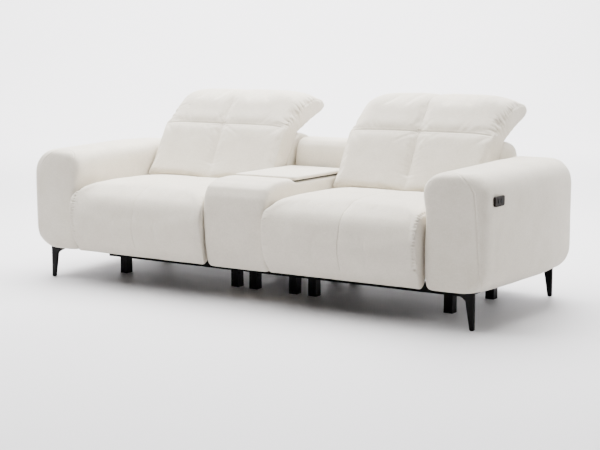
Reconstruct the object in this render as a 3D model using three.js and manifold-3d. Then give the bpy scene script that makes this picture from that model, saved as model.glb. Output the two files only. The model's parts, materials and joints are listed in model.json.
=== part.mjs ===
// A two-seat sofa with reclining seats, tilting headrests and a fixed console with a lidded bin between them.
// Millimetres, +Z up, +X to the sitter's left as seen from the front, the front faces -Y.
import * as THREE from 'three';
import { mergeVertices } from 'three/addons/utils/BufferGeometryUtils.js';
import Module from 'manifold-3d';

const wasm = await Module();
wasm.setup();

// Driving sizes across the sofa
const consoleWidth = 326;
const seatWidth = 736;
const armWidth = 306;
const sideGap = 4;

// Driving sizes front to back, measured from the plane of the arm fronts
const armDepth = 900;
const frontBulge = 60;
const seatRearInset = 355;
const seatRearY = armDepth - seatRearInset;
const backFootInset = 29;
const backFootY = seatRearY - backFootInset;
const shellOverhang = 12;
const shellRearY = armDepth + shellOverhang;

// Driving heights
const underside = 150;
const armHeight = 620;
const seatHeight = 470;
const seatUnderShare = 0.58;
const seatUnderZ = underside + (seatHeight - underside) * seatUnderShare;
const deckThick = 18;
const consoleHeight = 527;
const centreBackHeight = 661;

// Clearances
const seated = 0.3;
const runningGap = 0.4;
const overrun = 40;
const facing = 2;

const consoleHalf = consoleWidth / 2;
const seatHalf = seatWidth / 2;
const seatCentreX = consoleHalf + sideGap + seatHalf;
const armInner = consoleHalf + sideGap + seatWidth + sideGap;
const armOuter = armInner + armWidth;
const cushionHalf = seatHalf;

// Materials
const paint = {
  fabric: { color: 0xd9d5cc, roughness: 0.95, metalness: 0 },
  fabricFront: { color: 0xcfcac0, roughness: 0.95, metalness: 0 },
  blackSteel: { color: 0x151515, roughness: 0.45, metalness: 0.6 },
  zincSteel: { color: 0x9a9c9f, roughness: 0.4, metalness: 0.9 },
  plywood: { color: 0xb99462, roughness: 0.8, metalness: 0 },
  blackPlastic: { color: 0x1c1c1d, roughness: 0.6, metalness: 0 },
  bronzePlastic: { color: 0x3d3029, roughness: 0.4, metalness: 0.3 },
};

const sofa = new THREE.Group();

function add(name, geometry, finish) {
  const mesh = new THREE.Mesh(geometry, new THREE.MeshStandardMaterial(paint[finish]));
  mesh.name = name;
  sofa.add(mesh);
  return mesh;
}

// Solids for joining and cutting
function solidOf(geometry) {
  const bare = geometry.clone();
  bare.deleteAttribute('normal');
  bare.deleteAttribute('uv');
  const merged = mergeVertices(bare);
  const vertProperties = new Float32Array(merged.attributes.position.array);
  const triVerts = new Uint32Array(merged.index.array);
  return new wasm.Manifold(new wasm.Mesh({ numProp: 3, vertProperties, triVerts }));
}

function geometryOf(solid) {
  const { vertProperties, triVerts } = solid.getMesh();
  const geometry = new THREE.BufferGeometry();
  geometry.setAttribute('position', new THREE.BufferAttribute(new Float32Array(vertProperties), 3));
  geometry.setIndex(new THREE.BufferAttribute(new Uint32Array(triVerts), 1));
  geometry.computeVertexNormals();
  return geometry;
}

function join(...geometries) {
  return geometryOf(geometries.map(solidOf).reduce((whole, next) => whole.add(next)));
}

function cut(geometry, ...tools) {
  return geometryOf(tools.map(solidOf).reduce((whole, tool) => whole.subtract(tool), solidOf(geometry)));
}

// A block between two corners
function block([x0, x1], [y0, y1], [z0, z1]) {
  const geometry = new THREE.BoxGeometry(x1 - x0, y1 - y0, z1 - z0);
  return geometry.translate((x0 + x1) / 2, (y0 + y1) / 2, (z0 + z1) / 2);
}

// A round bar along X, and one along Y
const barSides = 16;

function barX(radius, [x0, x1], [y, z], sides = barSides) {
  const geometry = new THREE.CylinderGeometry(radius, radius, x1 - x0, sides);
  return geometry.rotateZ(Math.PI / 2).translate((x0 + x1) / 2, y, z);
}

function barY(radius, [y0, y1], [x, z], sides = barSides) {
  const geometry = new THREE.CylinderGeometry(radius, radius, y1 - y0, sides);
  return geometry.translate(x, (y0 + y1) / 2, z);
}

// A plate with its outline in Y and Z, and one with its outline in X and Z
function plateX(points, [x0, x1]) {
  const shape = new THREE.Shape(points.map(([y, z]) => new THREE.Vector2(y, z)));
  const geometry = new THREE.ExtrudeGeometry(shape, { depth: x1 - x0, bevelEnabled: false });
  const turn = new THREE.Matrix4().makeBasis(
    new THREE.Vector3(0, 1, 0), new THREE.Vector3(0, 0, 1), new THREE.Vector3(1, 0, 0));
  return geometry.applyMatrix4(turn).translate(x0, 0, 0);
}

function plateY(points, [y0, y1]) {
  const shape = new THREE.Shape(points.map(([x, z]) => new THREE.Vector2(x, z)));
  const geometry = new THREE.ExtrudeGeometry(shape, { depth: y1 - y0, bevelEnabled: false });
  return geometry.rotateX(Math.PI / 2).translate(0, y1, 0);
}

// Points on an arc in the Y-Z plane, angles in degrees from +Y towards +Z
function arc([y, z], radius, from, to, steps) {
  return Array.from({ length: steps + 1 }, (_, i) => {
    const angle = THREE.MathUtils.degToRad(from + ((to - from) * i) / steps);
    return [y + radius * Math.cos(angle), z + radius * Math.sin(angle)];
  });
}

// A closed solid through rings of points, each end closed by a fan about the ring's middle
function throughRings(rings) {
  const count = rings[0].length;
  const positions = rings.flat(2);
  const index = [];
  for (let r = 0; r + 1 < rings.length; r += 1) {
    for (let i = 0; i < count; i += 1) {
      const j = (i + 1) % count;
      const [a, b, c, d] = [r * count + i, r * count + j, (r + 1) * count + i, (r + 1) * count + j];
      index.push(a, b, d, a, d, c);
    }
  }
  [rings[0], rings[rings.length - 1]].forEach((ring, end) => {
    const middle = positions.length / 3;
    const sum = ring.reduce((s, p) => s.map((v, k) => v + p[k]), [0, 0, 0]);
    positions.push(...sum.map((v) => v / count));
    const base = end === 0 ? 0 : (rings.length - 1) * count;
    for (let i = 0; i < count; i += 1) {
      const j = (i + 1) % count;
      index.push(...(end === 0 ? [middle, base + j, base + i] : [middle, base + i, base + j]));
    }
  });
  if (volume(positions, index) < 0) {
    index.reverse();
  }
  const geometry = new THREE.BufferGeometry();
  geometry.setAttribute('position', new THREE.Float32BufferAttribute(positions, 3));
  geometry.setIndex(index);
  geometry.computeVertexNormals();
  return geometry;
}

function volume(positions, index) {
  const at = (i) => new THREE.Vector3(positions[3 * i], positions[3 * i + 1], positions[3 * i + 2]);
  let total = 0;
  for (let t = 0; t < index.length; t += 3) {
    total += at(index[t]).dot(at(index[t + 1]).cross(at(index[t + 2]))) / 6;
  }
  return total;
}

// Quarter-round draw-in: nothing until the rounding starts, the whole radius at the end
function roundIn(distance, radius) {
  const t = Math.min(1, Math.max(0, 1 - distance / radius));
  return radius * (1 - Math.sqrt(1 - t * t));
}

// Draws an outline of [u, v, face, edge] in along each point's inward normal
function drawnIn(outline, amountOf) {
  const count = outline.length;
  const area = outline.reduce((sum, [u, v], i) => {
    const [nu, nv] = outline[(i + 1) % count];
    return sum + (u * nv - nu * v) / 2;
  }, 0);
  return outline.map(([u, v, face, edge], i) => {
    const before = outline[(i + count - 1) % count];
    const after = outline[(i + 1) % count];
    const along = new THREE.Vector2(after[0] - before[0], after[1] - before[1]).normalize();
    const amount = amountOf(face, edge) * Math.sign(area);
    return [u - along.y * amount, v + along.x * amount];
  });
}

// A cushion lofted across X: rounded, drawn-in sides, a crowned face and a sewn channel down its middle
const sideStationShares = [0, 0.12, 0.45, 1];
const spanStationShares = [0.3, 0.65];
const channelStationShares = [1, 0];

function cushionAcross({ outline, half, sideRound, crown = 0, channelDepth = 0, channelHalf = 0 }) {
  const flatHalf = half - sideRound;
  const outward = [
    ...sideStationShares.map((share) => half - sideRound * share),
    ...spanStationShares.map((share) => flatHalf + (channelHalf - flatHalf) * share),
    ...channelStationShares.map((share) => channelHalf * share),
  ];
  const stations = [...outward.map((x) => -x), ...outward.slice(0, -1).reverse()];
  const kept = channelHalf > 0 ? stations : stations.filter((x, i) => stations.indexOf(x) === i && (x || i));
  return throughRings(kept.map((x) => {
    const side = roundIn(half - Math.abs(x), sideRound);
    const near = channelHalf > 0 ? Math.max(0, 1 - Math.abs(x) / channelHalf) : 0;
    const face = crown * (x / half) ** 2 + channelDepth * near * near;
    return drawnIn(outline, (f, e) => f * face + e * side).map(([y, z]) => [x, y, z]);
  }));
}

// Maps a table of shares to places between two named corners
function placed(shares, [y0, y1], [z0, z1], face = 1, edge = 1) {
  return shares.map(([ys, zs]) => [y0 + (y1 - y0) * ys, z0 + (z1 - z0) * zs, face, edge]);
}

// Base: two cross rails, each with its row of square legs welded on, and four slide rails on top of them
const legSide = 40;
const railHeight = 40;
const railDrop = 34;
const railTopZ = underside - railDrop;
const railBottomZ = railTopZ - railHeight;
const legRowFrontY = 299;
const legRowRearInset = 239;
const legRowRearY = armDepth - legRowRearInset;
const railReach = 53;
const railEndX = armInner + railReach;
const railTabWidth = 34;
const outerLegInset = 38;
const rearLegInset = 14;
const seatLegInset = 45;
const consoleLegInset = 56;
const outerLegX = armInner - outerLegInset;
const rearOuterLegX = armInner - rearLegInset;
const seatInnerLegX = consoleHalf + seatLegInset;
const consoleLegX = consoleHalf - consoleLegInset;
const actuatorShare = 0.376;
const actuatorZ = underside + (seatUnderZ - underside) * actuatorShare;
const cheekThick = 6;
const cheekSpread = 48;
const cheekRise = 24;
const cheekTopZ = actuatorZ + cheekRise;
const actuatorPinRadius = 6;
const actuatorPinInset = 3;
const actuatorPinY = legRowRearY + actuatorPinInset;
const cheekHalfDepth = 24;

function baseRail(rowY, outerX, withCheeks) {
  const rail = [block([-railEndX, railEndX], [rowY - legSide / 2, rowY + legSide / 2], [railBottomZ, railTopZ])];
  for (const side of [-1, 1]) {
    for (const legX of [outerX, seatInnerLegX, consoleLegX]) {
      const x = side * legX;
      rail.push(block([x - legSide / 2, x + legSide / 2], [rowY - legSide / 2, rowY + legSide / 2], [0, railTopZ]));
    }
    const tab = [side * (railEndX - railTabWidth / 2) - railTabWidth / 2, side * (railEndX - railTabWidth / 2) + railTabWidth / 2];
    rail.push(block(tab, [rowY - legSide / 2, rowY + legSide / 2], [railBottomZ, underside - seated]));
    if (withCheeks) {
      for (const cheek of [-1, 1]) {
        const x = side * seatCentreX + cheek * (cheekSpread / 2 + cheekThick / 2);
        rail.push(block([x - cheekThick / 2, x + cheekThick / 2],
          [actuatorPinY - cheekHalfDepth, actuatorPinY + cheekHalfDepth], [railBottomZ, cheekTopZ]));
      }
    }
  }
  const whole = join(...rail);
  if (!withCheeks) {
    return whole;
  }
  const hole = [actuatorPinY, actuatorZ];
  const reach = cheekSpread / 2 + cheekThick + facing;
  return cut(whole,
    barX(actuatorPinRadius + runningGap, [-seatCentreX - reach, -seatCentreX + reach], hole),
    barX(actuatorPinRadius + runningGap, [seatCentreX - reach, seatCentreX + reach], hole));
}

add('front_base_rail', baseRail(legRowFrontY, outerLegX, false), 'blackSteel');
add('rear_base_rail', baseRail(legRowRearY, rearOuterLegX, true), 'blackSteel');

// Arms: an upholstered cover over an inner frame, which hides in a pocket open at the bottom
const armFrontRound = 45;
const armRearRound = 130;
const armTopOuterRadius = 95;
const armTopInnerRadius = 62;
const armBottomOuterRadius = 85;
const armBottomInnerRadius = 14;
const armFrontProud = 12;
const armSideBulge = 35;
const armBulgeStartY = 100;
const armOuterFrontRound = 80;
const armOuterRoundShare = 0.9;
const armCrown = 9;
const armBottomFrontShare = 0.11;
const armTopRearShare = 0.7;
const armFrontLean = 22;
const armFrontLeanDepth = 330;
const armLeanDrop = 168;
const armLeanFullDrop = 80;
const armLeanFootZ = armHeight - armLeanDrop;
const armLeanFullZ = armHeight - armLeanFullDrop;
const armInnerShares = [0.1, 0.26, 0.5, 0.75];
const armFlangeInset = 18;
const armFlangeThick = 18;
const armFlangeEnd = 32;
const armPanelThick = 40;
const armPanelTop = 80;
const armPanelEnd = 70;
const cornerSteps = 5;

// A rounded rectangle in X and Z with a crowned top and a bulging outer side
function armRing(y) {
  const front = roundIn(y + armFrontProud, armFrontRound);
  const rear = roundIn(armDepth - y, armRearRound);
  const bulged = Math.min(1, Math.max(0, y - armBulgeStartY) / (armDepth / 2 - armBulgeStartY));
  const barrel = armSideBulge * (1 - Math.cos(Math.PI * bulged)) / 2;
  const frontSide = roundIn(y + armFrontProud, armOuterFrontRound) * armOuterRoundShare;
  const lean = armFrontLean * Math.max(0, 1 - Math.max(0, y) / armFrontLeanDepth) ** 2;
  const inner = armInner + front / 3 + rear / 6;
  const outer = armOuter - armSideBulge + barrel - frontSide - rear;
  const bottom = underside + front * armBottomFrontShare + rear / 2;
  const crown = armCrown * (1 - barrel / armSideBulge);
  const top = armHeight - crown - front / 2 - rear * armTopRearShare;
  const shrink = (radius) => radius * (1 - rear / (2 * armRearRound));
  const corner = (cx, cz, radius, from) => arc([cx, cz], radius, from, from + 90, cornerSteps);
  const [ro, ri] = [shrink(armTopOuterRadius), shrink(armTopInnerRadius)];
  const [bo, bi] = [shrink(armBottomOuterRadius), shrink(armBottomInnerRadius)];
  const innerFace = armInnerShares.map((share) => [inner, top - ri + (bottom + bi - top + ri) * share]);
  const ring = [
    ...corner(outer - bo, bottom + bo, bo, -90),
    ...corner(outer - ro, top - ro, ro, 0),
    ...corner(inner + ri, top - ri, ri, 90), ...innerFace,
    ...corner(inner + bi, bottom + bi, bi, 180),
  ];
  return ring.map(([x, z]) => {
    const rise = Math.min(1, Math.max(0, (z - armLeanFootZ) / (armLeanFullZ - armLeanFootZ)));
    const near = Math.max(0, 1 - (x - inner) / ri);
    return [x - lean * Math.sin((rise * Math.PI) / 2) * near, y, z];
  });
}

const armStationShares = [0, 0.12, 0.45, 1, 1.9];
const armSpanShares = [0.3, 0.65];
const armRearShares = [1, 0.5, 0.15, 0];

function armCover() {
  const frontEnd = armFrontRound * armStationShares[armStationShares.length - 1] - armFrontProud;
  const rearStart = armDepth - armRearRound;
  const stations = [
    ...armStationShares.map((share) => -armFrontProud + armFrontRound * share),
    ...armSpanShares.map((share) => frontEnd + (rearStart - frontEnd) * share),
    ...armRearShares.map((share) => armDepth - armRearRound * share),
  ];
  return throughRings(stations.map(armRing));
}

// The arm frame's section: an upright panel on a flange that takes the legs and the rail tabs
function armFrameSection(grow) {
  const [x0, x1] = [armInner + armFlangeInset, armOuter - armBottomOuterRadius - armSideBulge];
  const middle = (x0 + x1) / 2;
  const base = grow > 0 ? underside - overrun : underside;
  return [
    [x0 - grow, base], [x1 + grow, base], [x1 + grow, underside + armFlangeThick + grow],
    [middle + armPanelThick / 2 + grow, underside + armFlangeThick + grow],
    [middle + armPanelThick / 2 + grow, armHeight - armPanelTop + grow],
    [middle - armPanelThick / 2 - grow, armHeight - armPanelTop + grow],
    [middle - armPanelThick / 2 - grow, underside + armFlangeThick + grow],
    [x0 - grow, underside + armFlangeThick + grow],
  ];
}

// Control plate with two push buttons, let into the outer side of each arm
const plateLength = 84;
const plateHeight = 39;
const plateThick = 12;
const plateCorner = 9;
const plateCentreY = 71;
const plateDrop = 112;
const plateCentreZ = armHeight - plateDrop;
const plateProud = 3;
const plateOuterX = armOuter - armSideBulge + plateProud;
const buttonRadius = 9;
const buttonSpread = 24;
const buttonProud = 2;
const buttonLength = 7;
const buttonCollar = 2;
const buttonCollarThick = 2;
const plateCornerSteps = 3;

function plateOutline(grow) {
  const [hy, hz, r] = [plateLength / 2 - plateCorner, plateHeight / 2 - plateCorner, plateCorner + grow];
  return [[1, -1, -90], [1, 1, 0], [-1, 1, 90], [-1, -1, 180]].flatMap(([sy, sz, from]) => (
    arc([plateCentreY + sy * hy, plateCentreZ + sz * hz], r, from, from + 90, plateCornerSteps)));
}

function mirrored(geometry, side) {
  return side > 0 ? geometry : geometryOf(solidOf(geometry).mirror([1, 0, 0]));
}

// Blade legs: a tapering blade under a flat plate
const bladeInset = 121;
const bladeTipX = armOuter - bladeInset;
const bladeOuter = 8;
const bladeTopWidth = 37;
const bladeTipWidth = 18;
const bladeThick = 12;
const bladeTipChamfer = 4;
const legPlateWidth = 75;
const legPlateDepth = 60;
const legPlateThick = 6;
const gussetHeight = 24;
const gussetRootHeight = 34;
const bladeFrontY = 33;
const bladeRearInset = 58;
const bladeRearY = armDepth - bladeRearInset;

function bladeLeg(bladeY, plateY0) {
  const outer = bladeTipX + bladeOuter;
  const top = underside - seated;
  const blade = plateY([
    [outer - bladeTipChamfer, 0], [outer, bladeTipChamfer], [outer, top - legPlateThick / 2],
    [outer - legPlateWidth, top - legPlateThick / 2], [outer - legPlateWidth, top - legPlateThick * 2],
    [outer - bladeTopWidth - gussetHeight / 2, top - gussetHeight], [outer - bladeTopWidth, top - gussetRootHeight],
    [outer - bladeTipWidth, bladeTipChamfer], [outer - bladeTipWidth + bladeTipChamfer, 0],
  ], [bladeY - bladeThick / 2, bladeY + bladeThick / 2]);
  const plate = block([outer - legPlateWidth, outer], [plateY0, plateY0 + legPlateDepth], [top - legPlateThick, top]);
  return join(blade, plate);
}

for (const [sideName, side] of [['left', -1], ['right', 1]]) {
  const framePocket = plateY(armFrameSection(seated), [armFlangeEnd - seated, armDepth - armFlangeEnd - seated]);
  const platePocket = plateX(plateOutline(seated), [plateOuterX - plateThick - seated, armOuter + overrun]);
  const wallPocket = plateX(plateOutline(-buttonCollar),
    [plateOuterX - plateThick - buttonLength, plateOuterX - plateThick]);
  add(`${sideName}_arm_cover`, mirrored(cut(armCover(), framePocket, platePocket, wallPocket), side), 'fabric');
  const frame = plateY(armFrameSection(0), [armFlangeEnd, armDepth - armFlangeEnd - 2 * seated]);
  add(`${sideName}_arm_frame`, mirrored(frame, side), 'plywood');

  const bore = (y) => barX(buttonRadius + runningGap, [plateOuterX - plateThick - overrun, plateOuterX + overrun],
    [y, plateCentreZ]);
  const buttonYs = [plateCentreY - buttonSpread / 2, plateCentreY + buttonSpread / 2];
  const plate = cut(plateX(plateOutline(0), [plateOuterX - plateThick, plateOuterX]), ...buttonYs.map(bore));
  add(`${sideName}_control_plate`, mirrored(plate, side), 'bronzePlastic');
  buttonYs.forEach((y, i) => {
    const cap = barX(buttonRadius, [plateOuterX - plateThick - buttonCollarThick, plateOuterX + buttonProud],
      [y, plateCentreZ]);
    const collar = barX(buttonRadius + buttonCollar,
      [plateOuterX - plateThick - buttonCollarThick - seated, plateOuterX - plateThick - seated], [y, plateCentreZ]);
    add(`${sideName}_${i === 0 ? 'open' : 'close'}_button`, mirrored(join(cap, collar), side), 'blackPlastic');
  });

  add(`${sideName}_front_leg`, mirrored(bladeLeg(bladeFrontY, bladeFrontY - bladeThick / 2), side), 'blackSteel');
  add(`${sideName}_rear_leg`, mirrored(bladeLeg(bladeRearY, bladeRearY - legPlateDepth / 2), side), 'blackSteel');
}

// Console: padded body with a pocket for the storage bin, a board under it and a lid over it
const consoleFootY = 12;
const consoleBulge = 30;
const consoleRearY = armDepth + shellOverhang / 2;
const lidFrontY = 217;
const centreBackDepth = 201;
const centreBackFrontY = consoleRearY - centreBackDepth;
const lidRearGap = 31;
const lidRearY = centreBackFrontY - lidRearGap;
const lidGroove = 3;
const shelfDrop = 19;
const shelfZ = consoleHeight - shelfDrop;
const consoleSideRound = 22;
const binInset = 45;
const binHalf = consoleHalf - binInset;
const binFrontY = 238;
const binRearInset = 24;
const binRearY = lidRearY - binRearInset;
const binFloorShare = 0.22;
const binFloorZ = underside + (consoleHeight - underside) * binFloorShare;
const binWall = 6;
const consoleFrontShares = [[0, 0], [0.45, 0.08], [0.78, 0.26], [0.98, 0.48], [1, 0.66], [0.8, 0.81], [0.3, 0.915]];
const consoleTopShares = [[0.12, 0.55], [0.35, 0.93], [0.6, 1], [0.9, 0.97], [1, 0.75]];
const consoleShoulderShare = 0.9;

function consoleCover() {
  const front = placed(consoleFrontShares, [consoleFootY, -consoleBulge], [underside, consoleHeight]);
  const topStart = underside + (consoleHeight - underside) * consoleShoulderShare;
  const top = placed(consoleTopShares, [0, lidFrontY - lidGroove], [topStart, consoleHeight]);
  const outline = [
    ...front, ...top,
    [lidFrontY - lidGroove, shelfZ, 0, 0.3], [consoleRearY, shelfZ, 0, 0.3], [consoleRearY, underside, 0, 0.3],
  ];
  return cushionAcross({ outline, half: consoleHalf, sideRound: consoleSideRound, channelHalf: consoleHalf / 4 });
}

const backBoardInset = 43;
const backBoardHalf = consoleHalf - backBoardInset;
const backBoardThick = 20;
const backBoardRearInset = 55;
const backBoardY = consoleRearY - backBoardRearInset;
const backBoardFootShare = 0.4;
const backBoardFootZ = underside + (consoleHeight - underside) * backBoardFootShare;
const backBoardHead = 45;
const binPocket = block([-binHalf, binHalf], [binFrontY, binRearY], [binFloorZ, consoleHeight + overrun]);
const centreBoardTop = centreBackHeight - backBoardHead;

function centreBoard(grow) {
  return block([-backBoardHalf - grow, backBoardHalf + grow],
    [backBoardY - backBoardThick / 2 - grow, backBoardY + backBoardThick / 2 + grow],
    [backBoardFootZ - grow, centreBoardTop + grow]);
}

add('console_cover', cut(consoleCover(), binPocket, centreBoard(seated)), 'fabric');
add('center_back_board', centreBoard(0), 'plywood');

const binOuter = block([-binHalf + seated, binHalf - seated], [binFrontY + seated, binRearY - seated],
  [binFloorZ + seated, shelfZ]);
const binInner = block([-binHalf + binWall, binHalf - binWall], [binFrontY + binWall, binRearY - binWall],
  [binFloorZ + binWall, shelfZ + overrun]);
add('console_bin', cut(binOuter, binInner), 'blackPlastic');

const consoleBoardInset = 23;
const consoleBoardHalf = consoleHalf - consoleBoardInset;
const consoleBoardFrontY = 178;
const consoleBoardRearY = consoleRearY - consoleBoardInset * facing;
add('console_base_board', block([-consoleBoardHalf, consoleBoardHalf], [consoleBoardFrontY, consoleBoardRearY],
  [railTopZ + seated, underside - seated]), 'plywood');

// Centre back: a low padded back behind the lid
const centreBackRound = 22;
const centreBackShares = [
  [0, 0], [0.004, 0.3], [0.02, 0.55], [0.06, 0.78], [0.16, 0.93], [0.32, 1], [0.55, 1], [0.75, 0.95], [0.9, 0.82],
  [0.98, 0.6], [1, 0.35], [1, 0],
];
const centreBackOutline = placed(centreBackShares, [centreBackFrontY, consoleRearY], [shelfZ + seated, centreBackHeight]);
add('center_back_cover', cut(cushionAcross({
  outline: centreBackOutline.map(([y, z, face]) => [y, z, face, z > shelfZ + facing ? 1 : 0.2]),
  half: consoleHalf, sideRound: centreBackRound, channelHalf: consoleHalf / 4,
}), centreBoard(seated)), 'fabric');

// Lid: a padded board that turns up about a hinge at its rear
const lidHingeY = lidRearY - facing;
const lidHingeRise = 5.2;
const lidHingeZ = shelfZ + lidHingeRise;
const lidInset = 3;
const lidHalf = consoleHalf - lidInset;
const lidBoardInset = 8;
const lidBoardZ = shelfZ + facing;
const lidBoardThick = 8;
const lidBoardRearGap = 8;
const lidBoardRearY = lidHingeY - lidBoardRearGap;
const lidCrown = 4;
const knuckleRadius = 4.6;
const hingePinRadius = 2.5;
const hingeHoleRadius = 2.9;
const fixedKnuckleHalf = 58;
const lidKnuckleStart = 60;
const lidKnuckleEnd = 100;
const leafLength = 28;
const leafRearY = lidHingeY + leafLength;
const leafThick = 2.4;

const lidBoardTop = lidBoardZ + lidBoardThick;
const lidKnuckles = [-1, 1].map((side) => barX(knuckleRadius,
  [Math.min(side * lidKnuckleStart, side * lidKnuckleEnd), Math.max(side * lidKnuckleStart, side * lidKnuckleEnd)],
  [lidHingeY, lidHingeZ]));
const lidTongues = [-1, 1].map((side) => block(
  [Math.min(side * lidKnuckleStart, side * lidKnuckleEnd), Math.max(side * lidKnuckleStart, side * lidKnuckleEnd)],
  [lidBoardRearY - facing, lidHingeY], [lidBoardZ, lidHingeZ + facing]));
const lidBoard = block([-lidHalf + lidBoardInset, lidHalf - lidBoardInset],
  [lidFrontY + lidBoardInset, lidBoardRearY], [lidBoardZ, lidBoardTop]);
add('console_lid_board', cut(join(lidBoard, ...lidTongues, ...lidKnuckles),
  barX(hingeHoleRadius, [-lidKnuckleEnd - overrun, lidKnuckleEnd + overrun], [lidHingeY, lidHingeZ])), 'plywood');

const lidPadShares = [[0, 0.1], [0, 0.55], [0.008, 0.85], [0.03, 1], [0.25, 1], [0.5, 1], [0.75, 1], [0.97, 1],
  [0.994, 0.85], [1, 0.55], [1, 0.1], [0.99, 0], [0.5, 0], [0.01, 0]];
const lidPadTop = consoleHeight + lidCrown;
add('console_lid_pad', cushionAcross({
  outline: placed(lidPadShares, [lidFrontY, lidRearY], [lidBoardTop + seated, lidPadTop])
    .map(([y, z]) => [y, z, z > lidBoardTop + facing ? 1 : 0, z > lidBoardTop + facing ? 1 : 0.2]),
  half: lidHalf, sideRound: (lidPadTop - lidBoardTop) / 3, crown: lidCrown, channelHalf: lidHalf / 4,
}), 'fabric');

add('console_lid_hinge', join(
  barX(hingePinRadius, [-lidKnuckleEnd, lidKnuckleEnd], [lidHingeY, lidHingeZ]),
  barX(knuckleRadius, [-fixedKnuckleHalf, fixedKnuckleHalf], [lidHingeY, lidHingeZ]),
  block([-fixedKnuckleHalf, fixedKnuckleHalf], [lidHingeY, leafRearY], [shelfZ + seated, shelfZ + seated + leafThick]),
), 'zincSteel');

// Footrest hinge line, on the rounded front corner of the seat, so that the pads part on their inner side
const hingeReachShare = 0.63;
const hingeDrop = 58;
const hingeZ = seatHeight - hingeDrop;
const hingeY = -frontBulge * hingeReachShare;
const padBackY = 45;
const padGap = 1.5;

// Seat profile above the hinge line, as shares of the depth and of the rise from the hinge to the crown
const seatTopShares = [[0.025, 0.27], [0.08, 0.6], [0.15, 0.79], [0.25, 0.91], [0.4, 0.98], [0.57, 1], [0.77, 0.95],
  [0.95, 0.84], [0.983, 0.66], [1, 0.4]];
// Footrest profile from the bottom edge up to the hinge line
const footFrontShares = [[0, 0], [0.2, 0.06], [0.47, 0.16], [0.77, 0.34], [0.93, 0.53], [1, 0.74], [0.88, 0.9]];
const seatSideRound = 42;
const seatCrown = 10;
const seatChannelDepth = 9;
const seatChannelHalf = 34;

function seatCushion() {
  const outline = [
    [hingeY + padGap, hingeZ + padGap, 1, 1],
    ...placed(seatTopShares, [hingeY, seatRearY], [hingeZ, seatHeight]),
    [seatRearY, seatUnderZ, 0, 0.2], [(seatRearY + padBackY) / 2, seatUnderZ, 0, 0], [padBackY, seatUnderZ, 0, 0.2],
    [(padBackY + hingeY) / 2 + padGap, (seatUnderZ + hingeZ) / 2 + padGap, 0, 0.4],
  ];
  return cushionAcross({ outline, half: cushionHalf, sideRound: seatSideRound, crown: seatCrown,
    channelDepth: seatChannelDepth, channelHalf: seatChannelHalf });
}

const footInnerFootY = 36;
const footInnerRise = 8;
const footInnerFootZ = underside + footInnerRise;

function footrestPad() {
  const outline = [
    ...placed(footFrontShares, [0, -frontBulge], [underside, hingeZ]),
    [hingeY, hingeZ - padGap, 1, 1],
    [(padBackY + hingeY) / 2 - padGap, (seatUnderZ + hingeZ) / 2 - 2 * padGap, 0, 0.4],
    [padBackY - padGap, seatUnderZ - 2 * padGap, 0, 0.2],
    [padBackY - padGap, (seatUnderZ + underside) / 2, 0, 0],
    [padBackY - padGap, footInnerFootZ + padGap, 0, 0.2], [footInnerFootY, footInnerFootZ, 0, 0.2],
  ];
  return cushionAcross({ outline, half: cushionHalf, sideRound: seatSideRound, crown: seatCrown,
    channelDepth: seatChannelDepth, channelHalf: seatChannelHalf });
}

// Footrest linkage: a parallelogram, so the coupler keeps its slope while the link turns with the footrest
const bracketPinY = 80;
const bracketDrop = 36;
const bracketPinZ = seatUnderZ - bracketDrop;
const linkShiftY = 160;
const linkPivotY = hingeY + linkShiftY;
const linkPivotZ = bracketPinZ;
const linkShiftZ = linkPivotZ - hingeZ;
const linkHalfWidth = 12;
const linkThick = 5;
const linkInset = 66;
const linkStep = 8;
const linkPlaneX = seatHalf - linkInset;
const couplerPlaneX = linkPlaneX - linkStep;
const bracketPlaneX = couplerPlaneX - linkStep;
const linkPinRadius = 5;
const torqueTubeRadius = 10;
const elbowY = bracketPinY + linkShiftY;
const elbowZ = bracketPinZ + linkShiftZ;

// A flat bar in the Y-Z plane between two pin centres
function flatBar([ya, za], [yb, zb], halfWidth, range) {
  const slope = THREE.MathUtils.radToDeg(Math.atan2(zb - za, yb - ya));
  const ends = [
    ...arc([yb, zb], halfWidth, slope - 90, slope + 90, cornerSteps),
    ...arc([ya, za], halfWidth, slope + 90, slope + 90 + 180, cornerSteps),
  ];
  return plateX(ends, range);
}

const span = (centre, thick) => [centre - thick / 2, centre + thick / 2];

// Seat carriage: two side plates on glides, two cross tubes, and rear ears for the backrest pins
const platePlaneInset = 38;
const platePlaneX = seatHalf - platePlaneInset;
const sidePlateThick = 6;
const railPlaneX = platePlaneX;
const slideRailWidth = 40;
const slideRailDrop = 4;
const slideRailTopZ = underside - slideRailDrop;
const slideRailFrontY = 180;
const glideWidth = 30;
const glideHeight = 8;
const plateTopZ = seatUnderZ - deckThick - 2 * seated;
const plateFrontY = 84;
const plateNoseDrop = 50;
const plateNoseY = 160;
const plateFootFrontY = 210;
const reclineInset = 95;
const reclineDrop = 75;
const reclineY = seatRearY + reclineInset;
const reclineZ = seatHeight - reclineDrop;
const reclinePinRadius = 8;
const earRadius = 26;
const plateRearReach = 28;
const earShoulderInset = 44;
const plateRearY = reclineY + plateRearReach;
const earShoulderY = reclineY - earShoulderInset;
const crossTubeRadius = 14;
const frontTubeY = 300;
const rearTubeInset = 80;
const rearTubeY = reclineY - rearTubeInset;
const rearTubeDrop = 30;
const rearTubeZ = seatUnderZ - deckThick - rearTubeDrop;
const carriageFootZ = slideRailTopZ + seated;

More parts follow.
